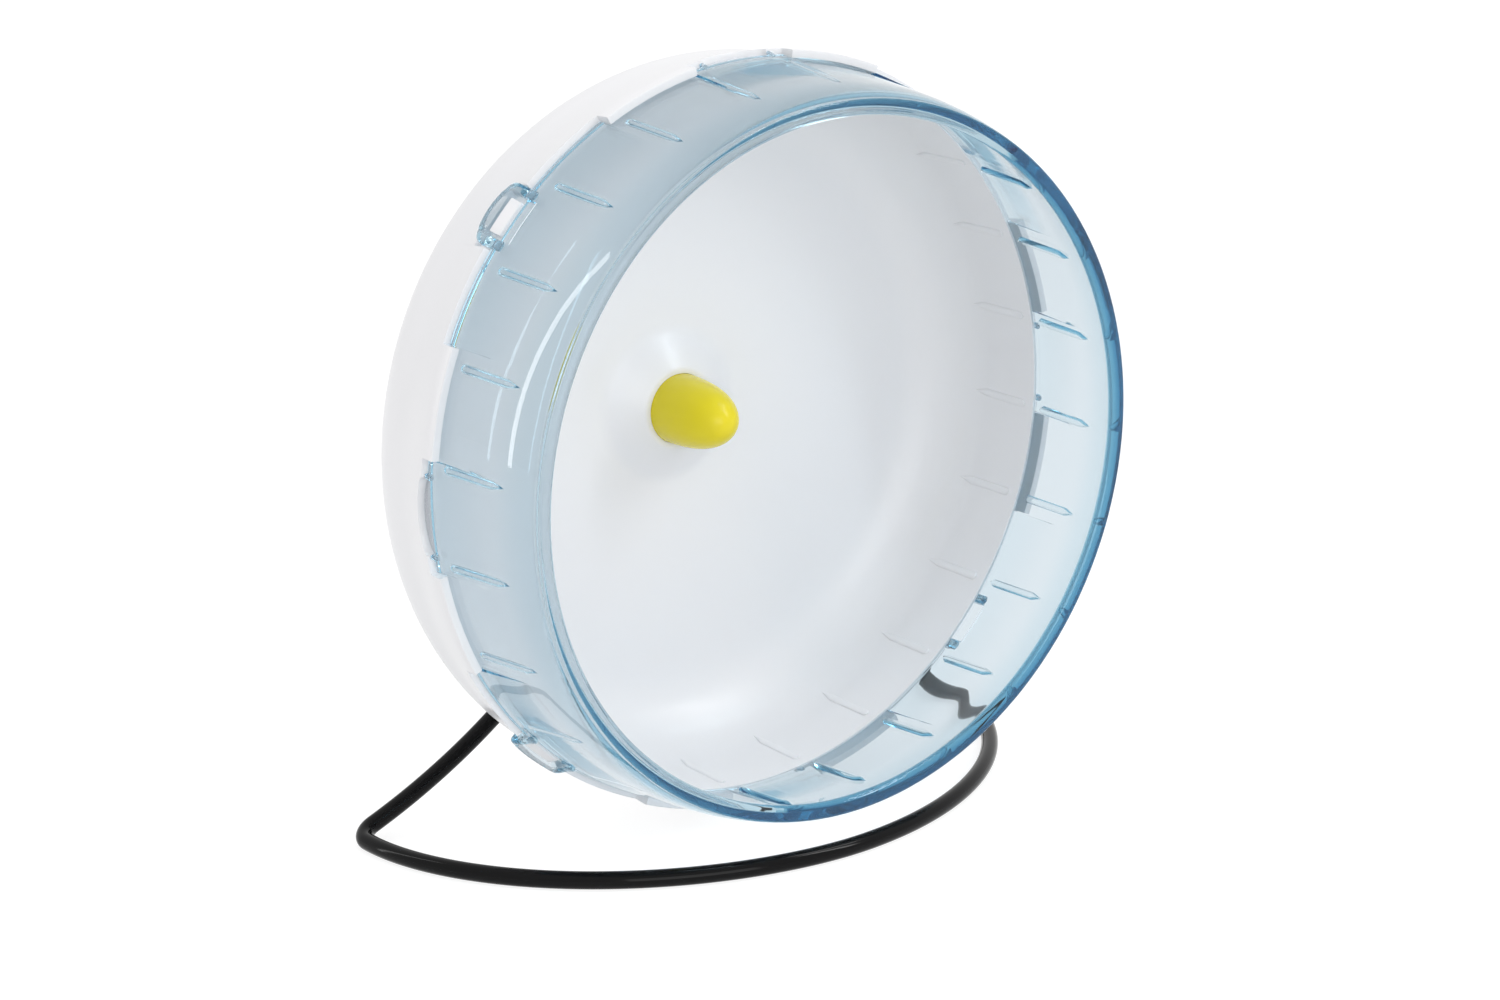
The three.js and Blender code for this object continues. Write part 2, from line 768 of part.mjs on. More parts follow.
// Finishes
const finish = (color, roughness, metalness) =>
  new THREE.MeshStandardMaterial({ color, roughness, metalness });
const clearBlue = new THREE.MeshStandardMaterial({
  color: 0x9cc4d4,
  roughness: 0.08,
  metalness: 0,
  transparent: true,
  opacity: 0.45,
});
const whitePlastic = finish(0xe4e5e8, 0.35, 0);
const yellowPlastic = finish(0xd9cc36, 0.3, 0);
const blackCoat = finish(0x101011, 0.3, 0);
const steel = finish(0xb9bcc0, 0.35, 1);
const greyPlastic = finish(0xb9bcc2, 0.5, 0);

function node(name, shape, material) {
  const geometry = shape.isBufferGeometry ? shape : geometryOf(shape);
  geometry.computeVertexNormals();
  const mesh = new THREE.Mesh(geometry, material);
  mesh.name = name;
  return mesh;
}

// Assembly. The drum group turns on the axle line, the carrier group stays still.
const drum = new THREE.Group();
drum.add(
  node("front_ring", frontRing(), clearBlue),
  node("back_dish", backDish(), whitePlastic),
  node("hub_cap", hubCap(), yellowPlastic),
  node("hub_sleeve", hubSleeve(), greyPlastic),
);
drum.position.z = axleHeight;
drum.rotation.y = radians(-drumTurnDegrees);

const upperScrew = node("clamp_screw_upper", clampScrew(), steel);
upperScrew.position.z = screwRise;
const lowerScrew = node("clamp_screw_lower", clampScrew(), steel);
lowerScrew.position.z = -screwRise;

const carrier = new THREE.Group();
carrier.add(
  node("axle", axle(), steel),
  node("retaining_ring", retainingRing(), steel),
  node("front_thrust_washer", washer(frontWasherRadius, frontWasherFront), steel),
  node("rear_thrust_washer", washer(rearWasherRadius, rearWasherFront), steel),
  node("bearing_block_front", blockHalf(blockFront, blockMiddle - seatGap / 2), greyPlastic),
  node("bearing_block_rear", blockHalf(blockMiddle + seatGap / 2, blockBack), greyPlastic),
  upperScrew,
  lowerScrew,
  node("axle_nut", axleNut(), steel),
);
carrier.position.z = axleHeight;

const wheel = new THREE.Group();
wheel.add(drum, carrier, node("wire_stand", wireStand(), blackCoat));
wheel.position.y = -(axleBack + Math.min(0, loopBack - loopBow - wireRadius)) / 2;

export default wheel;
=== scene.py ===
"""Hamster wheel for Blender 4.5: a clear blue ring snapped on a white dish, turning on a wire stand.

Lengths in the classes are millimetres. A place along the axle is measured back from the ring's front face.
"""

import json
import logging
import math
from dataclasses import dataclass
from enum import Enum

import bpy
import numpy as np
from mathutils import Matrix, Vector


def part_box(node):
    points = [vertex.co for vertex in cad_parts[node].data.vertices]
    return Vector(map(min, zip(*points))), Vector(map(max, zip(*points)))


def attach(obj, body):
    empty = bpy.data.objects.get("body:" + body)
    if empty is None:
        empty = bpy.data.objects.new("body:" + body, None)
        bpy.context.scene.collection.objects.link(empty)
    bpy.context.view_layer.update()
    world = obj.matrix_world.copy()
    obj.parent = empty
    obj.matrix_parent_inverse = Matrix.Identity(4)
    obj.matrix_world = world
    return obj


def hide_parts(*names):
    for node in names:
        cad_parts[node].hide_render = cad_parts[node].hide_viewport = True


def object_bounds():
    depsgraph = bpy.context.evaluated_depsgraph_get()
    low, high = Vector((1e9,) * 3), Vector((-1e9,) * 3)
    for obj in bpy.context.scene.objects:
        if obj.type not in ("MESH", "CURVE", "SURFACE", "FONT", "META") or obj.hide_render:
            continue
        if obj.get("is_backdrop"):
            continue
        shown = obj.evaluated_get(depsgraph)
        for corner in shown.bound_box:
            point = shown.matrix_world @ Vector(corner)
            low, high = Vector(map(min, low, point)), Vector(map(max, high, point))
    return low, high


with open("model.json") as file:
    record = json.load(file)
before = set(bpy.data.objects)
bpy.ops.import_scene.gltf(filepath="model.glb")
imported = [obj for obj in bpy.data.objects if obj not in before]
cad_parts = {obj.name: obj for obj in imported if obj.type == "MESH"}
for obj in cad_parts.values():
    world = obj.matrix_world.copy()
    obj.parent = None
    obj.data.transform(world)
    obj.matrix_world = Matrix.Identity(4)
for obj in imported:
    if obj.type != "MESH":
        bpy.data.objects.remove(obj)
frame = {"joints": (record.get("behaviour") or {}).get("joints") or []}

Point = tuple[float, float]
Triple = tuple[float, float, float]
Socket = bpy.types.NodeSocket

# Metres in a millimetre, metres within which points are one, and most of a side that a rounding takes
MM = 0.001
MERGE = 1e-7
MOST_OF_SIDE = 0.49

# Sockets of the colour mixing node
MIX_FIRST = 6
MIX_SECOND = 7
MIX_RESULT = 2

log = logging.getLogger("hamster_wheel")


class Body(Enum):
    """Bodies of the frame that the pieces ride on."""

    DRUM = "drum"
    STAND = "stand"


class Slot(Enum):
    """Material slots of the record."""

    CLEAR_BLUE = "clear_blue"
    WHITE = "white_plastic"
    YELLOW = "yellow_plastic"
    GREY = "grey_plastic"
    STEEL = "steel"
    BLACK = "black_coat"


@dataclass(frozen=True)
class Grid:
    """Sheet of points, rows by columns by 3, closed on itself along either direction."""

    points: np.ndarray
    wrap_rows: bool = False
    wrap_columns: bool = True

    def quads(self) -> np.ndarray:
        """Corner numbers of the four-sided faces, ordered so that the closed sheet faces outwards.

        Returns:
            Array of faces by 4.
        """
        rows, columns = self.points.shape[:2]
        index = np.arange(rows * columns).reshape(rows, columns)
        if self.wrap_rows:
            index = np.vstack([index, index[:1]])
        if self.wrap_columns:
            index = np.hstack([index, index[:, :1]])
        faces = np.stack([index[:-1, :-1], index[:-1, 1:], index[1:, 1:], index[1:, :-1]], -1).reshape(-1, 4)
        centred = self.points.reshape(-1, 3) - self.points.reshape(-1, 3).mean(0)
        a, b, c, d = (centred[faces[:, k]] for k in range(4))
        volume = np.einsum("ij,ij->", a, np.cross(b, c)) + np.einsum("ij,ij->", a, np.cross(c, d))
        return faces if volume > 0 else faces[:, ::-1]


def mesh_of(name: str, grids: list[Grid], sharp_degrees: float) -> bpy.types.Object:
    """Puts closed grids into one smooth mesh; coincident points are merged and faces without area left out.

    Args:
        name: Name of the object and its mesh.
        grids: Closed sheets of points, in metres.
        sharp_degrees: Edges that bend more than this stay sharp.

    Returns:
        The new object, linked to the scene.
    """
    counts = [grid.points.shape[0] * grid.points.shape[1] for grid in grids]
    starts = np.concatenate([[0], np.cumsum(counts)[:-1]]).astype(int)
    points = np.concatenate([grid.points.reshape(-1, 3) for grid in grids])
    faces = np.concatenate([grid.quads() + start for grid, start in zip(grids, starts)])
    owner = np.repeat(np.arange(len(grids)), counts)
    keys = np.column_stack([np.round(points / MERGE), owner]).astype(np.int64)
    _, first, inverse = np.unique(keys, axis=0, return_index=True, return_inverse=True)
    faces = inverse.reshape(-1)[faces]
    kept = faces != np.roll(faces, -1, axis=1)
    sound = (kept.sum(1) >= 3) & (faces[:, 0] != faces[:, 2]) & (faces[:, 1] != faces[:, 3])
    faces, kept = faces[sound], kept[sound]
    loops = faces[kept]
    loop_starts = np.concatenate([[0], np.cumsum(kept.sum(1))[:-1]])
    mesh = bpy.data.meshes.new(name)
    mesh.vertices.add(len(first))
    mesh.vertices.foreach_set("co", points[first].astype(np.float32).ravel())
    mesh.loops.add(len(loops))
    mesh.loops.foreach_set("vertex_index", loops.astype(np.int32))
    mesh.polygons.add(len(loop_starts))
    mesh.polygons.foreach_set("loop_start", loop_starts.astype(np.int32))
    mesh.update(calc_edges=True)
    mesh.validate()
    mesh.polygons.foreach_set("use_smooth", np.ones(len(mesh.polygons), bool))
    mesh.set_sharp_from_angle(angle=math.radians(sharp_degrees))
    made = bpy.data.objects.new(name, mesh)
    bpy.context.scene.collection.objects.link(made)
    return made


def ease(share: np.ndarray | float) -> np.ndarray:
    """Smooth step from 0 to 1: 3 s squared less 2 s cubed, with s held between 0 and 1."""
    held = np.clip(share, 0.0, 1.0)
    return held * held * (3.0 - 2.0 * held)


def arc(centre: Point, size: float, span: Point, steps: int) -> np.ndarray:
    """Circular arc in the (radius, place) plane: centre plus size times cos t and sin t.

    Args:
        centre: Centre's radius from the axle and place along it.
        size: Radius of the arc.
        span: First and last angle in degrees.
        steps: Number of points.

    Returns:
        Array of points by 2.
    """
    turn = np.radians(np.linspace(*span, steps))
    return np.column_stack([centre[0] + size * np.cos(turn), centre[1] + size * np.sin(turn)])


def flat(start: float, stop: float, steps: int, place: float) -> np.ndarray:
    """Evenly spaced radii at one place, as an array of points by 2."""
    return np.column_stack([np.linspace(start, stop, steps), np.full(steps, place)])


def rounded(corners: list[Point], radii: list[float], steps: int = 6) -> np.ndarray:
    """Polyline whose inner corners are rounded by parabolas that touch both sides.

    Args:
        corners: Points of the polyline, as (radius, place).
        radii: Distance from each corner at which its rounding starts; zero keeps it.
        steps: Points on each rounding.

    Returns:
        Array of points by 2.
    """
    points = np.array(corners, float)
    share = np.linspace(0.0, 1.0, steps)[:, None]
    made = []
    for before, here, after, radius in zip(np.roll(points, 1, 0), points, np.roll(points, -1, 0), radii):
        if radius <= 0.0:
            made.append(here[None])
            continue
        start, stop = (
            here + side / np.linalg.norm(side) * min(radius, np.linalg.norm(side) * MOST_OF_SIDE)
            for side in (before - here, after - here)
        )
        made.append((1 - share) ** 2 * start + 2 * share * (1 - share) * here + share**2 * stop)
    return np.concatenate(made)


@dataclass(frozen=True)
class AxleSpace:
    """Space round the axle: turns (radius, place, angle) into the frame."""

    front: float
    height: float
    turn: float = 0.0

    def points(self, radius: np.ndarray, place: np.ndarray, angle: np.ndarray) -> np.ndarray:
        """Points in the frame, in metres.

        x is radius cos(angle + turn), y is front + place and z is height + radius sin(angle + turn).

        Args:
            radius: Distances from the axle.
            place: Places along the axle.
            angle: Angles round the axle.

        Returns:
            Array of the three's common shape by 3.
        """
        radius, place, angle = np.broadcast_arrays(radius, place, angle)
        turned = angle + self.turn
        across, up = radius * np.cos(turned), radius * np.sin(turned)
        return np.stack([across, self.front + place, self.height + up], -1) * MM

    def turned(self, profile: np.ndarray, steps: int) -> Grid:
        """Closed profile of (radius, place) turned once round the axle."""
        angle = np.linspace(0.0, 2.0 * np.pi, steps, endpoint=False)
        return Grid(self.points(profile[:, :1], profile[:, 1:], angle[None]), wrap_rows=True)


@dataclass(frozen=True)
class Speckle:
    """Noise on object coordinates: features per metre, octaves of finer noise, and a scale for each axis."""

    scale: float
    detail: float
    stretch: Triple = (1.0, 1.0, 1.0)


class NodeSheet:
    """Node tree of a material or of the world, with short calls to add and join nodes."""

    def __init__(self, owner: bpy.types.Material | bpy.types.World) -> None:
        """Empties the owner's node tree.

        Args:
            owner: Material or world whose tree it is.
        """
        owner.use_nodes = True
        self.owner, self.tree = owner, owner.node_tree
        self.tree.nodes.clear()

    def add(self, kind: str, inputs: dict | None = None, **settings: object) -> bpy.types.Node:
        """Adds a node.

        Args:
            kind: Blender's node type.
            inputs: Values for its sockets, by name or number; a socket of another node is linked.
            settings: Properties of the node.

        Returns:
            The node.
        """
        node = self.tree.nodes.new(kind)
        for key, value in settings.items():
            setattr(node, key, value)
        for key, value in (inputs or {}).items():
            if isinstance(value, Socket):
                self.tree.links.new(value, node.inputs[key])
            else:
                node.inputs[key].default_value = value
        return node

    def noise(self, speckle: Speckle) -> Socket:
        """Value of a noise, between 0 and 1.

        Args:
            speckle: The noise's pattern.

        Returns:
            The value's socket.
        """
        place = self.add("ShaderNodeTexCoord").outputs["Object"]
        mapping = self.add("ShaderNodeMapping", {"Scale": speckle.stretch, "Vector": place})
        settings = {"Scale": speckle.scale, "Detail": speckle.detail, "Vector": mapping.outputs["Vector"]}
        return self.add("ShaderNodeTexNoise", settings).outputs["Fac"]

    def spread(self, source: Socket, low: float, high: float) -> Socket:
        """Maps a noise value's usual span, 0.3 to 0.7, to low and high."""
        limits = {"Value": source, "From Min": 0.3, "From Max": 0.7, "To Min": low, "To Max": high}
        return self.add("ShaderNodeMapRange", limits).outputs["Result"]

    def blend(self, share: Socket, first: Triple, second: Triple) -> Socket:
        """Mixes two colours by a value.

        Args:
            share: Value that picks between them.
            first: Colour at 0.
            second: Colour at 1.

        Returns:
            The mixed colour's socket.
        """
        colours = {0: share, MIX_FIRST: (*first, 1.0), MIX_SECOND: (*second, 1.0)}
        return self.add("ShaderNodeMix", colours, data_type="RGBA").outputs[MIX_RESULT]

    def bump(self, height: Socket, strength: float, depth: float) -> Socket:
        """Bump from a height value; depth is in metres."""
        settings = {"Strength": strength, "Distance": depth, "Height": height}
        return self.add("ShaderNodeBump", settings).outputs["Normal"]

    def compute(self, operation: str, first: Socket, second: Socket | float) -> Socket:
        """One step of arithmetic on a value."""
        return self.add("ShaderNodeMath", {0: first, 1: second}, operation=operation).outputs[0]

    def either(self, share: Socket, first: Socket, second: Socket) -> Socket:
        """First shader where the share is 0, and second where it is 1."""
        return self.add("ShaderNodeMixShader", {0: share, 1: first, 2: second}).outputs[0]

    def seen(self) -> Socket:
        """One for rays from the camera, a mirror or through clear plastic, and zero for the rest.

        Returns:
            The socket of that value.
        """
        ray = self.add("ShaderNodeLightPath").outputs
        direct = self.compute("MAXIMUM", ray["Is Camera Ray"], ray["Is Glossy Ray"])
        return self.compute("MAXIMUM", direct, ray["Is Transmission Ray"])

    def material(self, surface: Socket, **others: Socket) -> bpy.types.Material:
        """Joins the last shader to the material's output.

        Args:
            surface: Shader of the surface.
            others: Shaders of the output's other sockets.

        Returns:
            The finished material.
        """
        self.add("ShaderNodeOutputMaterial", {"Surface": surface, **others})
        return self.owner


@dataclass(frozen=True)
class MouldedPlastic:
    """Opaque moulded plastic: slight colour drift, mould grain and uneven polish."""

    name: str
    light: Triple
    dark: Triple
    gloss_low: float
    gloss_high: float
    grain: float = 900.0
    grain_depth: float = 0.00001
    shine: float = 0.5
    refraction: float = 1.5
    drift: Speckle = Speckle(14.0, 3.0)
    polish: Speckle = Speckle(18.0, 1.0)
    grain_detail: float = 2.0
    grain_strength: float = 0.25

    def material(self) -> bpy.types.Material:
        """Builds the node tree.

        Returns:
            The material.
        """
        sheet = NodeSheet(bpy.data.materials.new(self.name))
        drift = sheet.spread(sheet.noise(self.drift), 0.0, 1.0)
        grain = sheet.noise(Speckle(self.grain, self.grain_detail))
        settings = {
            "IOR": self.refraction,
            "Specular IOR Level": self.shine,
            "Base Color": sheet.blend(drift, self.dark, self.light),
            "Roughness": sheet.spread(sheet.noise(self.polish), self.gloss_low, self.gloss_high),
            "Normal": sheet.bump(grain, self.grain_strength, self.grain_depth),
        }
        return sheet.material(sheet.add("ShaderNodeBsdfPrincipled", settings).outputs[0])


@dataclass(frozen=True)
class ClearPlastic:
    """Clear tinted plastic: refracts, tints by depth and lets the lamps' light through its shadow.

    A ray that has been reflected or bent too often inside the wall leaves it straight, so that it never
    ends black.
    """

    name: str
    surface: Triple
    tint: Triple
    density: float
    shadow: Triple
    refraction: float = 1.49
    gloss_low: float = 0.015
    gloss_high: float = 0.04
    polish: Speckle = Speckle(40.0, 3.0)
    wave: Speckle = Speckle(26.0, 1.0)
    wave_strength: float = 0.2
    wave_depth: float = 0.00005
    most_reflections: float = 3.5
    most_bounces: float = 8.5

    def straight(self, sheet: NodeSheet) -> Socket:
        """One for shadow rays and for rays past the most reflections or bounces, and zero for the rest.

        Args:
            sheet: Sheet of the material.

        Returns:
            The socket of that value.
        """
        ray = sheet.add("ShaderNodeLightPath").outputs
        trapped = sheet.compute("GREATER_THAN", ray["Glossy Depth"], self.most_reflections)
        deep = sheet.compute("GREATER_THAN", ray["Ray Depth"], self.most_bounces)
        lost = sheet.compute("MAXIMUM", trapped, deep)
        return sheet.compute("MAXIMUM", ray["Is Shadow Ray"], lost)

    def material(self) -> bpy.types.Material:
        """Builds the node tree.

        Returns:
            The material.
        """
        sheet = NodeSheet(bpy.data.materials.new(self.name))
        settings = {
            "IOR": self.refraction,
            "Transmission Weight": 1.0,
            "Base Color": (*self.surface, 1.0),
            "Roughness": sheet.spread(sheet.noise(self.polish), self.gloss_low, self.gloss_high),
            "Normal": sheet.bump(sheet.noise(self.wave), self.wave_strength, self.wave_depth),
        }
        glass = sheet.add("ShaderNodeBsdfPrincipled", settings).outputs[0]
        through = sheet.add("ShaderNodeBsdfTransparent", {"Color": (*self.shadow, 1.0)}).outputs[0]
        depth = {"Color": (*self.tint, 1.0), "Density": self.density}
        absorption = sheet.add("ShaderNodeVolumeAbsorption", depth).outputs[0]
        return sheet.material(sheet.either(self.straight(sheet), glass, through), Volume=absorption)


@dataclass(frozen=True)
class TurnedSteel:
    """Bright turned steel: fine tool rings across the axle and slight stains."""

    name: str
    bright: Triple
    dull: Triple
    gloss_low: float = 0.22
    gloss_high: float = 0.38
    stain: Speckle = Speckle(260.0, 4.0)
    rings: Speckle = Speckle(700.0, 3.0, (1.0, 12.0, 1.0))
    ring_strength: float = 0.3
    ring_depth: float = 0.00001

    def material(self) -> bpy.types.Material:
        """Builds the node tree.

        Returns:
            The material.
        """
        sheet = NodeSheet(bpy.data.materials.new(self.name))
        stain = sheet.spread(sheet.noise(self.stain), 0.0, 1.0)
        rings = sheet.noise(self.rings)
        settings = {
            "Metallic": 1.0,
            "Base Color": sheet.blend(stain, self.dull, self.bright),
            "Roughness": sheet.spread(rings, self.gloss_low, self.gloss_high),
            "Normal": sheet.bump(rings, self.ring_strength, self.ring_depth),
        }
        return sheet.material(sheet.add("ShaderNodeBsdfPrincipled", settings).outputs[0])


class Workshop:
    """Makes the pieces: mesh, finish, body and slot in one call."""

    def __init__(self) -> None:
        """Makes the finishes."""
        clear = ClearPlastic(
            "clear_blue_plastic",
            surface=(0.79, 0.79, 0.81),
            tint=(0.05, 0.58, 0.76),
            density=80.0,
            shadow=(0.90, 0.90, 0.905),
        )
        white = MouldedPlastic("white_gloss_plastic", (0.82, 0.82, 0.835), (0.81, 0.81, 0.83), 0.28, 0.29)
        yellow = MouldedPlastic(
            "yellow_gloss_plastic", (0.80, 0.67, 0.016), (0.77, 0.64, 0.014), 0.24, 0.28, shine=0.35
        )
        grey = MouldedPlastic(
            "grey_block_plastic",
            light=(0.47, 0.49, 0.52),
            dark=(0.43, 0.45, 0.48),
            gloss_low=0.38,
            gloss_high=0.5,
            grain=700.0,
            grain_depth=0.00004,
        )
        black = MouldedPlastic(
            "black_coating",
            light=(0.0012, 0.0012, 0.0016),
            dark=(0.0009, 0.0009, 0.0011),
            gloss_low=0.08,
            gloss_high=0.12,
            grain=500.0,
            grain_depth=0.00002,
            shine=0.16,
        )
        steel = TurnedSteel("turned_steel", bright=(0.62, 0.63, 0.65), dull=(0.5, 0.5, 0.51))
        self.materials = {
            Slot.CLEAR_BLUE: clear.material(),
            Slot.WHITE: white.material(),
            Slot.YELLOW: yellow.material(),
            Slot.GREY: grey.material(),
            Slot.BLACK: black.material(),
            Slot.STEEL: steel.material(),
        }

    def piece(
        self,
        name: str,
        grids: list[Grid],
        slot: Slot,
        body: Body,
        nodes: tuple[str, ...],
        sharp: float = 32.0,
    ) -> bpy.types.Object:
        """Makes one piece.

        Args:
            name: Name of the piece.
            grids: Its closed sheets of points.
            slot: Material slot, which also picks the finish.
            body: Body that it rides on.
            nodes: Solids of the frame that it stands for.
            sharp: Edges that bend more than this many degrees stay sharp.

        Returns:
            The finished object.
        """
        made = mesh_of(name, grids, sharp)
        made.data.materials.append(self.materials[slot])
        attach(made, body.value)
        if nodes:
            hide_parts(*nodes)
        log.info("%s: %d faces, rides on %s", name, len(made.data.polygons), body.value)
        return made


@dataclass(frozen=True)
class DrumPlan:
    """Sizes that the ring and the dish share, and the columns of their grids."""

    radius: float = 105.0
    depth: float = 43.2
    gap: float = 0.3
    skirt_front: float = 39.5
    rib_count: int = 24
    rib_half: float = 1.2
    rib_reach: float = 3.0
    finger_sets: int = 4
    tongue_half: float = 36.4
    tab_half: float = 15.5
    finger_back: float = 43.8
    corner: float = 0.4
    window_half: float = 6.6
    buckle_half: float = 9.8
    buckle_back: float = 50.8
    flap_half: float = 10.4
    flap_reach: float = 3.0
    edge_step: float = 0.1
    even_columns: int = 144
    rib_columns: tuple[float, ...] = (0, 0.55, 0.68, 0.8, 0.92, 1.04, 1.16, 1.2, 1.4, 3.0)
    corner_columns: tuple[float, ...] = (1.0, 0.78, 0.5, 0.26, 0.08)
    arch_turns: tuple[float, ...] = (10, 20, 30, 40, 50, 60, 70, 78, 84, 88, 90)

    def middles(self, shift: float) -> np.ndarray:
        """Angles of the fingers' middles: a shift of a half gives the tongues, and none gives the tabs."""
        return (np.arange(self.finger_sets) + shift) * 2.0 * np.pi / self.finger_sets

    def nearest(self, angle: np.ndarray, count: int, start: float) -> np.ndarray:
        """Distance round the drum, in mm, from each angle to the nearest of evenly spaced places."""
        step = 2.0 * np.pi / count
        return (np.mod(angle - start + step / 2.0, step) - step / 2.0) * self.radius

    def rib_offset(self, angle: np.ndarray) -> np.ndarray:
        """Distance to the nearest running rib."""
        return self.nearest(angle, self.rib_count, math.pi / self.rib_count)

    def tongue_offset(self, angle: np.ndarray) -> np.ndarray:
        """Distance to the middle of the nearest tongue."""
        return self.nearest(angle, self.finger_sets, math.pi / self.finger_sets)

    def tab_offset(self, angle: np.ndarray) -> np.ndarray:
        """Distance to the middle of the nearest tab."""
        return self.nearest(angle, self.finger_sets, 0.0)

    def angles(self, side: float) -> np.ndarray:
        """Angles of the grid's columns: even steps, with more of them at ribs and at the fingers' edges.

        Args:
            side: Clearance that widens the fingers' edges.

        Returns:
            Sorted angles in radians.
        """
        rounding = self.corner * np.array(self.corner_columns)
        pair = np.array([-self.edge_step / 2, self.edge_step / 2])
        tongue, tab = self.tongue_half + side, self.tab_half + side
        arch = self.flap_half * np.sin(np.radians(self.arch_turns))
        at_tongues = [tongue - rounding, tongue + pair, self.window_half + pair, self.buckle_half + pair]
        sets = [(self.rib_count, math.pi / self.rib_count, np.array(self.rib_columns))]
        sets += [(self.finger_sets, math.pi / self.finger_sets, offsets) for offsets in at_tongues]
        sets += [(self.finger_sets, 0.0, offsets) for offsets in (tab - rounding, tab + pair, arch)]
        found = [np.linspace(0.0, 2.0 * np.pi, self.even_columns, endpoint=False)]
        for count, start, offsets in sets:
            both = np.concatenate([-offsets, offsets]) / self.radius
            found.append((start + np.arange(count)[:, None] * 2.0 * np.pi / count + both).ravel())
        merged = np.sort(np.mod(np.concatenate(found), 2.0 * np.pi))
        least = self.edge_step / self.radius / 3.0
        return merged[np.diff(merged, append=merged[0] + 2.0 * np.pi) > least]

    def finger(self, angle: np.ndarray, side: float) -> np.ndarray:
        """True where a finger, widened by a clearance, covers the angle."""
        tongue = np.abs(self.tongue_offset(angle)) < self.tongue_half + side
        return tongue | (np.abs(self.tab_offset(angle)) < self.tab_half + side)

    def window(self, angle: np.ndarray) -> np.ndarray:
        """True inside a buckle's window."""
        return np.abs(self.tongue_offset(angle)) < self.window_half

    def back_edge(self, angle: np.ndarray, side: float) -> np.ndarray:
        """Place of the fingers' back edge: straight, with a quarter circle at each corner.

        Args:
            angle: Angles round the drum.
            side: Clearance that widens and lengthens the fingers.

        Returns:
            Place at each angle.
        """
        tongue = self.tongue_half + side - np.abs(self.tongue_offset(angle))
        tab = self.tab_half + side - np.abs(self.tab_offset(angle))
        inside = np.clip(np.maximum(tongue, tab), 0.0, self.corner)
        drop = self.corner - np.sqrt(self.corner**2 - (self.corner - inside) ** 2)
        return self.finger_back + side - drop

    def flap_edge(self, angle: np.ndarray, side: float) -> np.ndarray:
        """How far the thin flap reaches behind a tab: an elliptic arch."""
        across = np.abs(self.tab_offset(angle)) / (self.flap_half + side)
        return (self.flap_reach + side) * np.sqrt(np.clip(1.0 - across**2, 0.0, 1.0)) * (across < 1.0)

    def pinch(self, angle: np.ndarray, share: np.ndarray) -> np.ndarray:
        """Narrows the columns at each rib so that they follow its outline.

        The offset from the rib's middle is multiplied by the share inside the rib, and eased back to
        itself between the rib's side and the rib's reach.

        Args:
            angle: Angles of the columns, as a row.
            share: Width of the rib at each row as a share of its full width, as a column.

        Returns:
            Angles, rows by columns.
        """
        half, reach = self.rib_half, self.rib_reach
        offset = self.rib_offset(angle)
        size = np.abs(offset)
        outside = half * share + (size - half) * (reach - half * share) / (reach - half)
        moved = np.where(size <= half, size * share, np.where(size < reach, outside, size))
        return angle + np.sign(offset) * (moved - size) / self.radius


@dataclass(frozen=True)
class RibLine:
    """Outline of one running rib along the axle: round at one end and pointed at the other."""

    round_end: float
    point_end: float
    half: float
    height: float
    point_length: float = 5.0
    point_ease: float = 0.6
    least_width: float = 0.04
    middle_rows: int = 7
    point_rows: tuple[float, ...] = (-0.4, 0.0, 0.6, 1.2, 1.9, 2.7, 3.6, 4.4, 5.0)
    circle_rows: tuple[float, ...] = (1.0, 0.75, 0.5, 0.3, 0.15, 0.05, 0.005, -0.15, -0.4)

    @property
    def way(self) -> float:
        """Way from the point to the round end: 1 back along the axle, or -1 forward."""
        return math.copysign(1.0, self.round_end - self.point_end)

    def width_share(self, place: np.ndarray) -> np.ndarray:
        """Half width as a share: grows evenly from the point, and closes as a half circle at the round end.

        Args:
            place: Places along the axle.

        Returns:
            Share at each place, never less than the least width.
        """
        point = (place - self.point_end) * self.way / self.point_length
        inner = (place - (self.round_end - self.way * self.half)) * self.way / self.half
        circle = np.sqrt(np.clip(1.0 - np.clip(inner, 0.0, 1.0) ** 2, 0.0, 1.0))
        return np.clip(np.minimum(point, circle), self.least_width, 1.0)

    def rise(self, place: np.ndarray, offset: np.ndarray) -> np.ndarray:
        """Height above the wall: half an ellipse across the rib, eased out at the point.

        Args:
            place: Places along the axle.
            offset: Distances from the rib's middle.

        Returns:
            Height at each point.
        """
        along = ease((place - self.point_end) * self.way / (self.point_length * self.point_ease))
        inside = (place - self.round_end) * self.way < 0.0
        side = np.sqrt(np.clip(1.0 - (offset / self.half) ** 2, 0.0, 1.0))
        return self.height * along * inside * side

    def rows(self) -> np.ndarray:
        """Places for the rows of a grid, close together at both ends of the rib.

        Returns:
            Sorted places.
        """
        point = self.point_end + self.way * np.array(self.point_rows)
        circle = self.round_end - self.way * self.half * np.array(self.circle_rows)
        middle = np.linspace(point[-1], circle[0], self.middle_rows)[1:-1]
        return np.sort(np.concatenate([point, middle, circle]))


class Rows:
    """Rows of a sheet round the axle, each with a radius and a place in every column."""

    def __init__(self, columns: int) -> None:
        """Starts without rows.

        Args:
            columns: Number of columns of the sheet.
        """
        self.even = np.ones(columns)
        self.radius: list[np.ndarray] = []
        self.place: list[np.ndarray] = []

    def add(self, radius: np.ndarray | float, place: np.ndarray | float) -> None:
        """Adds one row with its own radius and place in each column."""
        self.radius.append(radius * self.even)
        self.place.append(place * self.even)

    def carry(self, profile: np.ndarray) -> None:
        """Adds a row for each (radius, place) of a profile, the same in every column."""
        self.radius.extend(profile[:, :1] * self.even)
        self.place.extend(profile[:, 1:] * self.even)


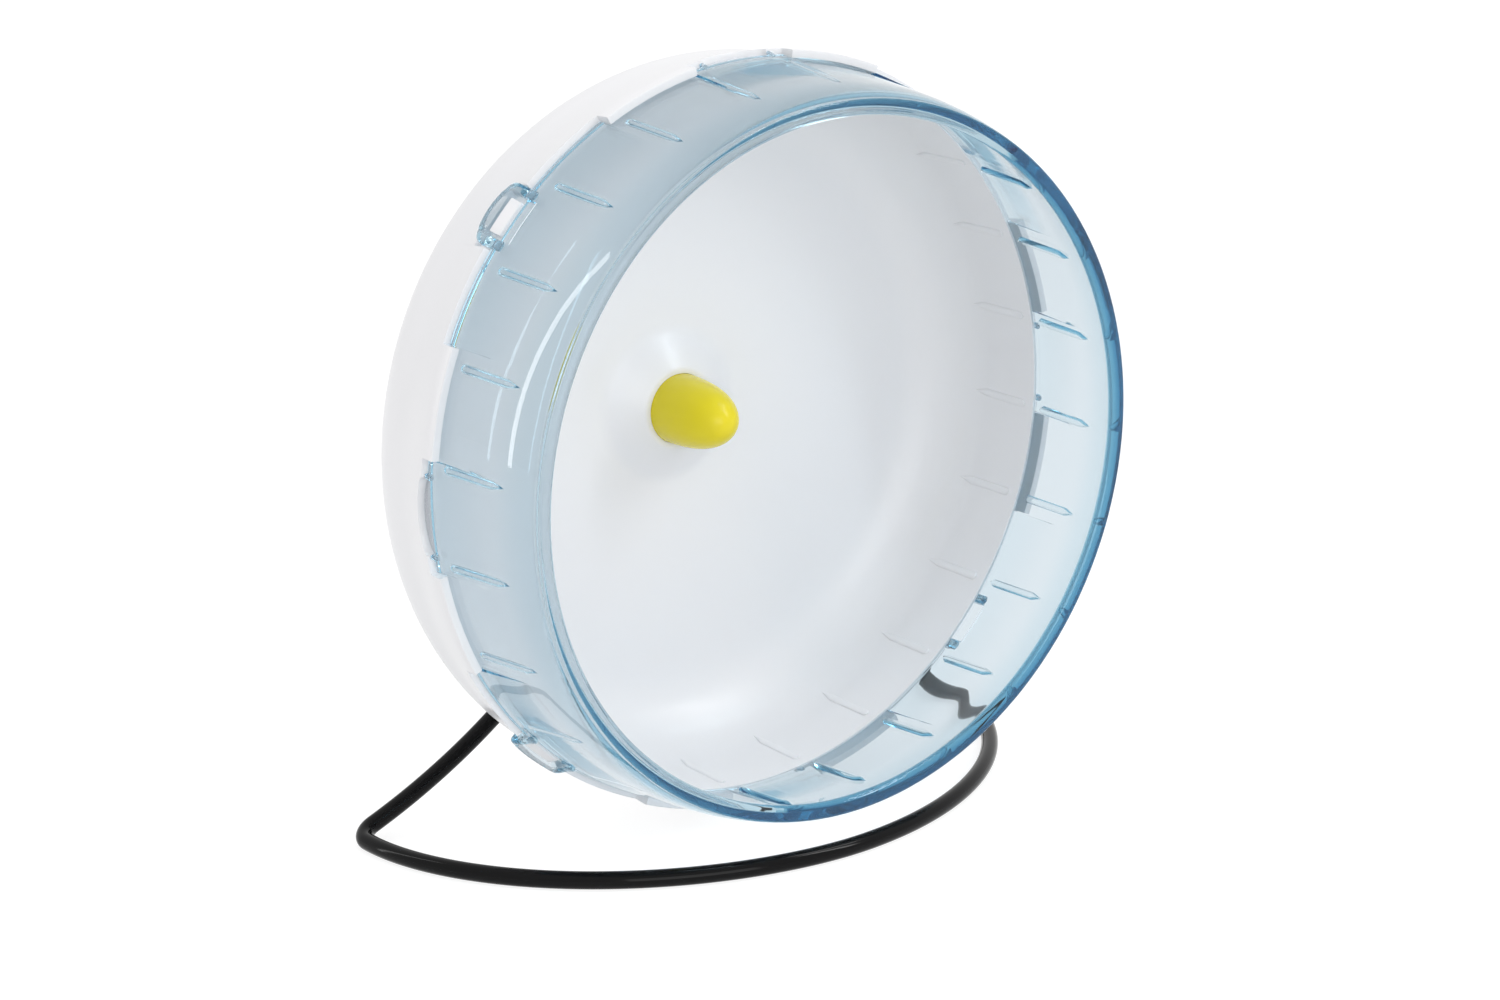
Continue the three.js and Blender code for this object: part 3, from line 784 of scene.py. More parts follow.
@dataclass(frozen=True)
class FingerTrim:
    """Buckle loops over the tongues' windows and ridges beside the tabs' flaps, as bars on the fingers."""

    plan: DrumPlan
    space: AxleSpace
    base: float
    section_power: float = 3.0
    section_steps: int = 28
    post_half: float = 1.4
    post_front: float = 39.4
    post_height: float = 0.5
    post_sink: float = 0.35
    post_stand: float = 0.7
    rise_past_bend: float = 1.0
    bend: float = 2.2
    strap_place: float = 48.4
    strap_bulge: float = 1.3
    strap_half: float = 1.25
    strap_end: float = 0.5
    strap_half_height: float = 2.0
    strap_lift: float = 0.2
    nub_front: float = 41.2
    nub_past_back: float = 0.5
    nub_past_flap: float = 0.7
    nub_low: float = 0.25
    nub_rise: float = 0.6
    nub_sink: float = 0.2
    nub_stand: float = 0.4
    nub_least: float = 0.2
    nub_swell: float = 0.8

    def strip(self, middle: float, line: np.ndarray, half: np.ndarray, tall: np.ndarray) -> Grid:
        """Rounded bar laid along a line on the drum.

        The cross section is a superellipse: half times the curve across the line, tall times it along the
        radius, with the curve's cos and sin to the power 2/section power. Both ends close on a point.

        Args:
            middle: Angle of the finger's middle.
            line: Points of the line: distance round the drum from that middle, place and radius.
            half: Half widths along the line.
            tall: Half heights along the line.

        Returns:
            The closed grid.
        """
        turn = np.linspace(0.0, 2.0 * np.pi, self.section_steps, endpoint=False)
        power = 2.0 / self.section_power
        across = np.sign(np.cos(turn)) * np.abs(np.cos(turn)) ** power
        up = np.sign(np.sin(turn)) * np.abs(np.sin(turn)) ** power
        along = np.gradient(line[:, :2], axis=0)
        along /= np.linalg.norm(along, axis=1, keepdims=True)
        taper = np.ones(len(line))
        taper[[0, -1]] = 0.0
        side = (half * taper)[:, None] * across
        rounds = line[:, :1] + along[:, 1:] * side
        lengths = line[:, 1:2] - along[:, :1] * side
        heights = line[:, 2:] + (tall * taper)[:, None] * up
        return Grid(self.space.points(heights, lengths, middle + rounds / self.plan.radius))

    def buckle(self, middle: float) -> Grid:
        """Loop over one window: two posts that rise to the back, joined by an arched strap.

        The strap's line bulges back by the bulge times (1 - share squared) to the power 1.5, with the share
        from its middle to a post.

        Args:
            middle: Angle of the tongue's middle.

        Returns:
            The closed grid.
        """
        reach = self.plan.window_half + self.post_half
        bend, start = self.bend, self.strap_place - self.bend
        turn = np.radians(np.linspace(0.0, 90.0, 8))
        straight = np.linspace(self.post_front, start, 9)
        leg = np.column_stack([np.full(len(straight), reach), straight])
        corner = np.column_stack([reach - bend * (1 - np.cos(turn)), start + bend * np.sin(turn)])[1:]
        cross = np.linspace(reach - bend, 0.0, 9)[1:]
        bulge = self.strap_bulge * (1 - (cross / reach) ** 2) ** 1.5
        half = np.concatenate([leg, corner, np.column_stack([cross, self.strap_place + bulge])])
        line = np.concatenate([half, half[-2::-1] * np.array([-1.0, 1.0])])
        rise = ease((line[:, 1] - self.post_front) / (start - self.post_front + self.rise_past_bend))
        tall = self.post_height + (self.strap_half_height - self.post_height) * rise
        radius = self.base - self.post_sink + tall * self.post_stand + rise * self.strap_lift
        width = np.where(np.abs(line[:, 0]) < reach - self.strap_end, self.strap_half, self.post_half)
        return self.strip(middle, np.column_stack([line, radius]), width, tall)

    def nub(self, middle: float, side: float) -> Grid:
        """Small ridge at one end of a tab's flap, highest at the tab's back edge.

        Its width swells with the square root of sin of half a turn times the share of its length, which
        stays a little off zero at both ends.

        Args:
            middle: Angle of the tab's middle.
            side: Which end: -1 or 1.

        Returns:
            The closed grid.
        """
        share = np.linspace(0.0, 1.0, 12)
        back = self.plan.finger_back + self.nub_past_back
        place = self.nub_front + (back - self.nub_front) * share
        tall = self.nub_low + self.nub_rise * ease(share)
        radius = self.base - self.nub_sink + tall * self.nub_stand
        offset = np.full(len(share), side * (self.plan.flap_half + self.nub_past_flap))
        swell = np.sqrt(np.clip(np.sin(np.pi * np.clip(share, 0.02, 0.98)), 0.05, 1.0))
        width = self.nub_swell * swell + self.nub_least
        return self.strip(middle, np.column_stack([offset, place, radius]), width, tall)


@dataclass(frozen=True)
class FrontRing:
    """Clear ring: bead at the mouth, rounded shoulder, ribbed wall, tongues with buckles, and tabs."""

    plan: DrumPlan
    space: AxleSpace
    bead_radius: float = 1.7
    mouth: float = 95.2
    bead_place: float = 2.1
    front_radius: float = 101.5
    front_place: float = 3.0
    face: float = 0.45
    crease: float = 0.8
    crease_turn: float = 72.0
    shoulder: float = 60.0
    wall_turn: float = 84.5
    fillet: float = 0.7
    back_round: float = 1.2
    wall: float = 2.0
    front_extra: float = 2.0
    extra_length: float = 18.0
    plain_wall: float = 16.0
    finger_rise: float = 0.8
    rise_start: float = 20.0
    window_front: float = 38.7
    window_edge: float = 0.05
    finger_edge: float = 0.2
    edge_middle: Point = (0.06, 0.07)
    flap_radius: float = 105.4
    flap_edge: float = 0.15
    rib: RibLine = RibLine(39.0, 14.6, 1.2, 1.1)
    back_rows: tuple[float, ...] = (41.3, 40.2)
    front_rows: tuple[float, ...] = (12.5, 10.2, 8.0, 6.4)

    @property
    def finger_radius(self) -> float:
        """Outside of the fingers behind the wall."""
        return self.plan.radius + self.finger_rise

    @property
    def flange_back(self) -> float:
        """Place of the flange's back face."""
        return self.bead_place + self.bead_radius

    def wall_radius(self, place: np.ndarray | float) -> np.ndarray:
        """Outside of the wall: a cone that opens to the drum's full radius at the ring's back."""
        slope = (self.plan.radius - self.front_radius) / (self.plan.depth - self.front_place)
        return self.front_radius + (np.asarray(place, float) - self.front_place) * slope

    def thickness(self, place: np.ndarray | float) -> np.ndarray:
        """Thickness of the wall, which grows smoothly towards the flange."""
        share = (np.asarray(place, float) - self.flange_back) / self.extra_length
        return self.wall + self.front_extra * (1.0 - ease(share))

    def lift(self, place: np.ndarray | float) -> np.ndarray:
        """How far the fingers stand proud of the wall: a smooth step that ends at the ring's back."""
        share = (np.asarray(place, float) - self.rise_start) / (self.plan.depth - self.rise_start)
        return self.finger_rise * ease(share)

    def front_profile(self) -> np.ndarray:
        """Mouth bead, flat flange, crease and shoulder, from the flange's back round the front to the wall.

        The crease turns the outline from the flange's face through its angle, and the wide shoulder arc
        turns it on to the slope of the wall.

        Returns:
            Points by 2.
        """
        bead = arc((self.mouth + self.bead_radius, self.bead_place), self.bead_radius, (90, 264), 15)
        first, last = math.radians(self.crease_turn), math.radians(self.wall_turn)
        start = self.face + self.crease * (1.0 - math.cos(first))
        stop = start + self.shoulder * (math.cos(first) - math.cos(last))
        centre = float(self.wall_radius(stop)) - self.shoulder * math.sin(last)
        middle = start + self.shoulder * math.cos(first)
        wide = arc((centre, middle), self.shoulder, (self.crease_turn - 90, self.wall_turn - 90), 9)
        inner = centre + (self.shoulder - self.crease) * math.sin(first)
        turn = arc((inner, self.face + self.crease), self.crease, (-90, self.crease_turn - 90), 9)
        return np.concatenate([bead, turn, wide[1:]])

    def outside_rows(self, rows: Rows, fingers: np.ndarray, reach: np.ndarray) -> None:
        """Rows of the wall's outside, where the fingers rise, from the shoulder to the ring's back edge.

        Args:
            rows: Rows of the sheet, which grow.
            fingers: True in the columns of a finger.
            reach: True in those of them beside the windows.
        """
        for step in (self.plain_wall, self.rise_start):
            rows.add(self.wall_radius(step), step)
        for step in np.linspace(self.rise_start, self.window_front, 10)[1:]:
            rows.add(self.wall_radius(step) + self.lift(step) * fingers, step)
        behind = np.linspace(self.window_front, self.plan.depth, 5)[1:]
        for step in np.append(self.window_front + self.window_edge, behind):
            rows.add(self.wall_radius(step) + self.lift(step) * reach, step)

    def finger_rows(self, rows: Rows, angle: np.ndarray, reach: np.ndarray) -> None:
        """Rows over the fingers' back edges and flaps, which elsewhere fall together on the ring's back edge.

        Args:
            rows: Rows of the sheet, which grow.
            angle: Angles of the columns.
            reach: True in the columns of a finger, beside the windows.
        """
        plan, top, edge = self.plan, self.finger_radius, self.finger_edge
        back = plan.back_edge(angle, 0.0)
        flap = back + plan.flap_edge(angle, 0.0)
        along = back - edge - plan.depth
        thick = flap > back + 2.0 * self.flap_edge
        for row_radius, row_place in (
            (top, plan.depth + along * 0.35),
            (top, plan.depth + along * 0.7),
            (top, back - edge),
            (top - self.edge_middle[0], back - self.edge_middle[1]),
            (top - edge, back),
            (self.flap_radius, back),
            (self.flap_radius, flap - self.flap_edge * thick),
            (self.flap_radius - edge, flap),
            (plan.radius + self.flap_edge, flap),
            (plan.radius, flap - self.flap_edge),
            (plan.radius, (back + plan.depth) / 2.0),
        ):
            rows.add(np.where(reach, row_radius, plan.radius), np.where(reach, row_place, plan.depth))
        rows.add(plan.radius, plan.depth)

    def back_profile(self) -> np.ndarray:
        """Rounded inner corner of the ring's back edge.

        Returns:
            Points by 2.
        """
        corner = self.plan.depth - self.back_round
        inside = float(self.wall_radius(corner)) - self.wall
        return arc((inside + self.back_round, corner), self.back_round, (90, 180), 6)

    def inside_rows(self, rows: Rows) -> None:
        """Rows along the ribbed inside of the wall, and round the fillet at the flange's back.

        Args:
            rows: Rows of the sheet, which grow.
        """
        lengthways = np.concatenate([self.back_rows, self.rib.rows()[::-1], self.front_rows])
        rows.carry(np.column_stack([self.wall_radius(lengthways) - self.thickness(lengthways), lengthways]))
        place = self.flange_back + self.fillet
        inside = float(self.wall_radius(place) - self.thickness(place))
        rows.carry(arc((inside - self.fillet, place), self.fillet, (360, 272), 10))

    def shell(self) -> Grid:
        """The moulded ring as one closed sheet.

        Each column is a closed profile. Fingers are columns whose profile runs on behind the ring; elsewhere
        those rows fall together on the ring's back edge.

        Returns:
            The grid.
        """
        plan = self.plan
        angle = plan.angles(0.0)
        fingers = plan.finger(angle, 0.0)
        reach = fingers & ~plan.window(angle)
        rows = Rows(len(angle))
        rows.carry(self.front_profile())
        self.outside_rows(rows, fingers, reach)
        self.finger_rows(rows, angle, reach)
        rows.carry(self.back_profile())
        outer_rows = len(rows.radius)
        self.inside_rows(rows)
        radius, place = np.array(rows.radius), np.array(rows.place)
        inner = np.arange(len(radius))[:, None] >= outer_rows
        radius = radius - self.rib.rise(place, plan.rib_offset(angle)[None]) * inner
        share = np.where(inner, self.rib.width_share(place.mean(1, keepdims=True)), 1.0)
        return Grid(self.space.points(radius, place, plan.pinch(angle[None], share)), wrap_rows=True)

    def build(self, shop: Workshop) -> list[bpy.types.Object]:
        """Makes the ring's pieces.

        Args:
            shop: Workshop that makes them.

        Returns:
            The pieces.
        """
        trim = FingerTrim(self.plan, self.space, self.finger_radius)
        buckles = [trim.buckle(float(middle)) for middle in self.plan.middles(0.5)]
        nubs = [trim.nub(float(middle), side) for middle in self.plan.middles(0.0) for side in (-1.0, 1.0)]
        return [
            shop.piece("ring_shell", [self.shell()], Slot.CLEAR_BLUE, Body.DRUM, ("front_ring",), 58.0),
            shop.piece("ring_buckles", buckles, Slot.CLEAR_BLUE, Body.DRUM, (), 60.0),
            shop.piece("ring_nubs", nubs, Slot.CLEAR_BLUE, Body.DRUM, (), 60.0),
        ]


@dataclass(frozen=True)
class BackDish:
    """White dish: skirt over the ring, low ribs, round corner, flat plate and the cone boss."""

    plan: DrumPlan
    space: AxleSpace
    wall: float = 2.0
    draft: float = 0.3
    corner: float = 24.5
    depth: float = 87.0
    skirt_rise: float = 2.9
    skirt_full: float = 41.0
    skirt_fade: float = 60.0
    lip_edge: float = 0.1
    lip_rise: float = 0.4
    skirt_edge: Point = (0.5, 0.45)
    edge_middle: Point = (0.15, 0.12)
    pocket_edge: float = 0.05
    pocket_slope: float = 0.5
    rib: RibLine = RibLine(47.0, 69.0, 1.2, 0.5)
    least_spacing: float = 0.03
    bend_lead: float = 0.5
    boss_radius: float = 22.0
    plate_radius: float = 28.0
    plate_lap: float = 0.02
    boss_top_radius: float = 11.7
    boss_rise: float = 6.5
    cone_step: float = 1.0
    seat_radius: float = 10.22
    seat_depth: float = 1.2
    collar_radius: float = 7.4
    collar_front: float = 74.0
    hub_radius: float = 7.0
    hub_back: float = 88.0
    bore: float = 4.6
    washer_bore: float = 6.2
    sleeve_front: float = 75.75
    catch_half: float = 5.2
    catch_back: float = 46.8
    catch_root: float = 1.0
    catch_low: float = 0.8
    catch_high: float = 2.4
    catch_edge: float = 0.3

    @property
    def outside(self) -> float:
        """Radius of the plain wall's outside."""
        return self.plan.radius - self.draft

    @property
    def bend(self) -> Point:
        """Centre of the round corner, as (radius, place)."""
        return self.outside - self.corner, self.depth - self.corner

    @property
    def front(self) -> float:
        """Front of the wall, a gap behind the ring."""
        return self.plan.depth + self.plan.gap

    def boss(self) -> Grid:
        """Cone boss and hub turned round the axle, from the plate's back to its front, edges rounded.

        Returns:
            The closed grid.
        """
        plate = self.depth - self.wall
        top = plate - self.boss_rise
        seat = top + self.seat_depth
        lap = self.plate_radius + self.plate_lap
        corners = [
            (lap, self.depth),
            (self.boss_radius - self.cone_step, self.depth),
            (self.boss_top_radius - self.cone_step, seat + self.wall),
            (self.hub_radius, seat + self.wall),
            (self.hub_radius, self.hub_back),
            (self.bore, self.hub_back),
            (self.bore, self.sleeve_front),
            (self.washer_bore, self.sleeve_front),
            (self.washer_bore, self.collar_front),
            (self.collar_radius, self.collar_front),
            (self.collar_radius, seat),
            (self.seat_radius, seat),
            (self.seat_radius, top),
            (self.boss_top_radius, top),
            (self.boss_radius, plate),
            (lap, plate),
        ]
        roundings = [0, 1.5, 0.8, 0.6, 0.3, 0.3, 0, 0, 0.2, 0.3, 0.2, 0.2, 0.2, 0.8, 2.6, 0]
        return self.space.turned(rounded(corners, roundings), 120)

    def skirt(self, place: np.ndarray) -> np.ndarray:
        """How far the skirt stands proud of the wall: in full at the front, and eased out behind."""
        return self.skirt_rise * (1.0 - ease((place - self.skirt_full) / (self.skirt_fade - self.skirt_full)))

    def outside_rows(self, rows: Rows, angle: np.ndarray) -> None:
        """Rows from the lip over the skirt, down the pockets' backs and along the wall to the round corner.

        Args:
            rows: Rows of the sheet, which grow.
            angle: Angles of the columns.
        """
        plan, wall, front = self.plan, self.outside, self.front
        pocket = plan.finger(angle, plan.gap)
        buckle = np.abs(plan.tongue_offset(angle)) < plan.buckle_half
        end = plan.back_edge(angle, plan.gap) + plan.flap_edge(angle, plan.gap)
        end = np.where(pocket, np.where(buckle, plan.buckle_back, end), plan.finger_back)
        lip, proud = plan.radius + plan.gap, wall + self.skirt_rise
        rows.add(plan.radius - self.wall + self.lip_edge, front)
        rows.add(np.where(pocket, wall, lip), front)
        for row_radius, along in (
            (lip, self.lip_edge),
            (lip + self.lip_edge, 0.0),
            (proud - self.skirt_edge[0], 0.0),
            (proud - self.edge_middle[0], self.edge_middle[1]),
            (proud, self.skirt_edge[1]),
        ):
            rows.add(np.where(pocket, wall, row_radius), np.where(pocket, front, plan.skirt_front + along))
        for share in (0.25, 0.5, 0.75, 0.96, 1.0):
            along = front + (end - front) * share
            rows.add(np.where(pocket, wall, wall + self.skirt(along)), along)
        # The pocket's back rises to the skirt in a smooth step
        for share, height in ((0.0, 0.0), (0.25, ease(0.4)), (0.6, ease(0.68)), (1.0, 1.0)):
            along = end + self.pocket_edge + self.pocket_slope * share
            rows.add(wall + self.skirt(along) * np.where(pocket, height, 1.0), along)
        start = end + 2.0 * self.pocket_slope
        for share in np.linspace(0.0, 1.0, 9):
            along = start + (self.bend[1] - start) * share
            rows.add(wall + self.skirt(along), along)

    def inside_profile(self) -> np.ndarray:
        """Plate, round corner and straight wall from the plate's front to the lip, with rows for the ribs.

        Returns:
            Points by 2.
        """
        centre_radius, centre_place = self.bend
        size = self.corner - self.wall
        lengthways = self.rib.rows()
        bent = lengthways >= centre_place - self.bend_lead
        swing = np.arcsin(np.clip((lengthways[bent] - centre_place) / size, 0.0, 1.0))
        extra = np.column_stack([centre_radius + size * np.cos(swing), centre_place + size * np.sin(swing)])
        curved = np.concatenate([arc(self.bend, size, (90, 0), 26), extra])
        curved = curved[np.argsort(-curved[:, 1])]
        curved = curved[-np.diff(curved[:, 1], append=curved[-1, 1] - 1.0) > self.least_spacing]
        straight = lengthways[~bent][::-1]
        lean = self.draft * (centre_place - straight) / (centre_place - self.front)
        lip = self.plan.radius - self.wall
        return np.concatenate(
            [
                flat(self.plate_radius, centre_radius, 10, self.depth - self.wall)[:-1],
                curved,
                np.column_stack([self.outside - self.wall + lean, straight]),
                [(lip, self.front + self.lip_rise), (lip, self.front + self.lip_edge)],
            ]
        )

    def shell(self) -> Grid:
        """The moulded dish as one closed sheet.

        The outside stands proud by the skirt's rise between the fingers, and fades to the plain wall. Round
        each finger it drops to a pocket whose rows follow the finger's back edge.

        Returns:
            The grid.
        """
        plan = self.plan
        angle = plan.angles(plan.gap)
        rows = Rows(len(angle))
        self.outside_rows(rows, angle)
        rows.carry(arc(self.bend, self.corner, (0, 90), 22)[1:])
        rows.carry(flat(self.bend[0], self.plate_radius, 8, self.depth)[1:])
        outer_rows = len(rows.radius)
        rows.carry(self.inside_profile())
        radius, place = np.array(rows.radius), np.array(rows.place)
        inner = np.arange(len(radius))[:, None] >= outer_rows
        height = self.rib.rise(place, plan.rib_offset(angle)[None]) * inner
        leaning = np.clip((place - self.bend[1]) / (self.corner - self.wall), 0.0, 1.0)
        radius = radius - height * np.sqrt(1.0 - leaning**2)
        place = place - height * leaning
        share = np.where(inner, self.rib.width_share(place.mean(1, keepdims=True)), 1.0)
        return Grid(self.space.points(radius, place, plan.pinch(angle[None], share)), wrap_rows=True)

    def catch(self, middle: float) -> Grid:
        """Snap catch in one window: a wedge that rises to the back, as a grid across the drum.

        Args:
            middle: Angle of the tongue's middle.

        Returns:
            The closed grid.
        """
        front = self.plan.depth + 2.0 * self.plan.gap
        root = self.plan.radius - self.catch_root
        corners = [
            (root, front),
            (self.plan.radius + self.catch_low, front),
            (self.plan.radius + self.catch_high, self.catch_back),
            (root, self.catch_back),
        ]
        profile = rounded(corners, [0.0, self.catch_edge, self.catch_edge, 0.0])
        share = np.array([-1.0, -1.0, -0.97, -0.5, 0.0, 0.5, 0.97, 1.0, 1.0])
        shrink = np.array([0.0, 0.96, 1.0, 1.0, 1.0, 1.0, 1.0, 0.96, 0.0])
        centre = profile.mean(0)
        sized = centre + (profile[None] - centre) * shrink[:, None, None]
        angle = middle + share[:, None] * self.catch_half / self.plan.radius
        return Grid(self.space.points(sized[..., 0], sized[..., 1], angle))

    def build(self, shop: Workshop) -> list[bpy.types.Object]:
        """Makes the dish and its catches.

        Args:
            shop: Workshop that makes them.

        Returns:
            The pieces.
        """
        catches = [self.catch(float(middle)) for middle in self.plan.middles(0.5)]
        shells = [self.shell(), self.boss()]
        return [
            shop.piece("dish_shell", shells, Slot.WHITE, Body.DRUM, ("back_dish",), 35.0),
            shop.piece("dish_catches", catches, Slot.WHITE, Body.DRUM, (), 40.0),
        ]


@dataclass(frozen=True)
class Hub:
    """Cap, sleeve, axle, washers and the retaining ring; tubes are given as outer radius, front and back."""

    space: AxleSpace
    still: AxleSpace
    cap_radius: float = 10.2
    cap_length: float = 24.5
    cap_base: float = 79.4
    cap_tip_power: float = 2.7
    cap_side_power: float = 2.1
    cap_bore: float = 7.7
    cap_bore_depth: float = 13.4
    cap_lip: float = 0.5
    cap_edge: float = 0.25
    axle_radius: float = 3.0
    axle_front: float = 71.55
    axle_back: float = 108.3
    axle_chamfer: float = 0.5
    bore: float = 3.3
    sleeve: Triple = (4.3, 75.75, 88.0)
    sleeve_edge: float = 0.2
    washer_front: Triple = (5.9, 74.45, 75.45)
    washer_rear: Triple = (6.5, 88.3, 89.3)
    washer_edge: float = 0.12
    groove_depth: float = 0.5
    groove_slack: float = 0.3
    retainer_front: float = 73.15
    retainer_back: float = 74.15
    retainer_radius: float = 5.0
    retainer_middle: float = 4.0
    retainer_half_gap: float = 1.2
    retainer_bite: float = 0.2
    shoulder_radius: float = 5.0
    shoulder_front: float = 89.6
    shoulder_back: float = 91.2
    thread_front: float = 101.8
    thread_pitch: float = 0.8
    thread_depth: float = 0.3
    thread_step: float = 0.1

    def cap(self) -> Grid:
        """Egg-shaped cap.

        Outside: radius is the cap's radius times cos t to the power 2/side, and the way forward is its length
        times sin t to the power 2/tip, with t from the base to the tip. The bore closes it from behind.

        Returns:
            The closed grid.
        """
        turn = np.linspace(0.0, np.pi / 2.0, 64)
        forward = self.cap_length * np.sin(turn) ** (2.0 / self.cap_tip_power)
        radius = self.cap_radius * np.cos(turn) ** (2.0 / self.cap_side_power)
        radius[-1] = 0.0
        outside = np.column_stack([radius, self.cap_base - forward])
        end = self.cap_base - self.cap_bore_depth
        corners = [
            (0.0, end),
            (self.cap_bore, end),
            (self.cap_bore, self.cap_base),
            (self.cap_radius - self.cap_lip, self.cap_base),
            (self.cap_radius, self.cap_base - self.cap_edge),
        ]
        roundings = [0.0, 1.2, 0.3, 0.0, 0.0]
        past_edge = outside[outside[:, 1] < self.cap_base - 1.2 * self.cap_edge]
        profile = np.concatenate([rounded(corners, roundings), past_edge])
        angle = np.linspace(0.0, 2.0 * np.pi, 96, endpoint=False)
        return Grid(self.space.points(profile[:, :1], profile[:, 1:], angle[None]))

    def tube(self, space: AxleSpace, size: Triple, edge: float) -> Grid:
        """Short tube over the axle with rounded edges.

        Args:
            space: Space that it is turned in.
            size: Outer radius, front and back.
            edge: Rounding of its edges.

        Returns:
            The closed grid.
        """
        outer, front, back = size
        corners = [(self.bore, front), (outer, front), (outer, back), (self.bore, back)]
        return space.turned(rounded(corners, [edge] * 4, 4), 72)

    def axle(self) -> Grid:
        """Axle: chamfered ends, clip groove, shoulder, and a thread at the back.

        The thread lowers the radius by a triangle wave of the place, less the turn times the pitch.

        Returns:
            The closed grid.
        """
        radius, chamfer, slack = self.axle_radius, self.axle_chamfer, self.groove_slack
        groove = radius - self.groove_depth
        corners = [
            (0.0, self.axle_front),
            (radius - chamfer, self.axle_front),
            (radius, self.axle_front + chamfer),
            (radius, self.retainer_front - slack),
            (groove, self.retainer_front - slack),
            (groove, self.retainer_back + slack),
            (radius, self.retainer_back + slack),
            (radius, self.shoulder_front),
            (self.shoulder_radius, self.shoulder_front),
            (self.shoulder_radius, self.shoulder_back),
            (radius, self.shoulder_back),
            (radius, self.thread_front),
        ]
        roundings = [0, 0.1, 0.1, 0.05, 0.05, 0.05, 0.05, 0.1, 0.3, 0.3, 0.1, 0]
        front = rounded(corners, roundings, 4)
        step = self.thread_step
        places = np.arange(self.thread_front + step, self.axle_back - chamfer, step)
        threads = np.column_stack([np.full(len(places), radius), places])
        end = [(radius - chamfer, self.axle_back), (0.0, self.axle_back)]
        profile = np.concatenate([front, threads, end])
        angle = np.linspace(0.0, 2.0 * np.pi, 72, endpoint=False)[None]
        phase = np.mod(profile[:, 1:] / self.thread_pitch - angle / (2.0 * np.pi), 1.0)
        wave = np.abs(2.0 * phase - 1.0)
        full = profile[:, :1] > radius - self.thread_step
        lowered = (profile[:, 1:] > self.thread_front) & full
        cut = self.thread_depth * wave * lowered
        return Grid(self.still.points(profile[:, :1] - cut, profile[:, 1:], angle))

    def clip(self) -> Grid:
        """Retaining ring: a rounded flat bar bent to most of a circle, open below.

        Returns:
            The closed grid.
        """
        inner, outer = self.axle_radius - self.retainer_bite, self.retainer_radius
        half_gap = math.asin(self.retainer_half_gap / self.retainer_middle)
        angle = np.linspace(-np.pi / 2.0 + half_gap, 1.5 * np.pi - half_gap, 60)
        front, back = self.retainer_front, self.retainer_back
        corners = [(inner, front), (outer, front), (outer, back), (inner, back)]
        profile = rounded(corners, [self.washer_edge] * 4, 3)
        centre = profile.mean(0)
        shrink = np.ones(len(angle) + 2)
        shrink[[0, -1]] = 0.0
        sized = centre + (profile[None] - centre) * shrink[:, None, None]
        ends = np.concatenate([angle[:1], angle, angle[-1:]])[:, None]
        return Grid(self.still.points(sized[..., 0], sized[..., 1], ends))

    def build(self, shop: Workshop) -> list[bpy.types.Object]:
        """Makes the hub's pieces.

        Args:
            shop: Workshop that makes them.

        Returns:
            The pieces.
        """
        drum, stand = Body.DRUM, Body.STAND
        front_washer = self.tube(self.still, self.washer_front, self.washer_edge)
        rear_washer = self.tube(self.still, self.washer_rear, self.washer_edge)
        sleeve = self.tube(self.space, self.sleeve, self.sleeve_edge)
        return [
            shop.piece("cap_shell", [self.cap()], Slot.YELLOW, drum, ("hub_cap",), 50.0),
            shop.piece("sleeve_tube", [sleeve], Slot.GREY, drum, ("hub_sleeve",)),
            shop.piece("axle_pin", [self.axle()], Slot.STEEL, stand, ("axle",)),
            shop.piece("retaining_clip", [self.clip()], Slot.STEEL, stand, ("retaining_ring",)),
            shop.piece("washer_front", [front_washer], Slot.STEEL, stand, ("front_thrust_washer",)),
            shop.piece("washer_rear", [rear_washer], Slot.STEEL, stand, ("rear_thrust_washer",)),
        ]


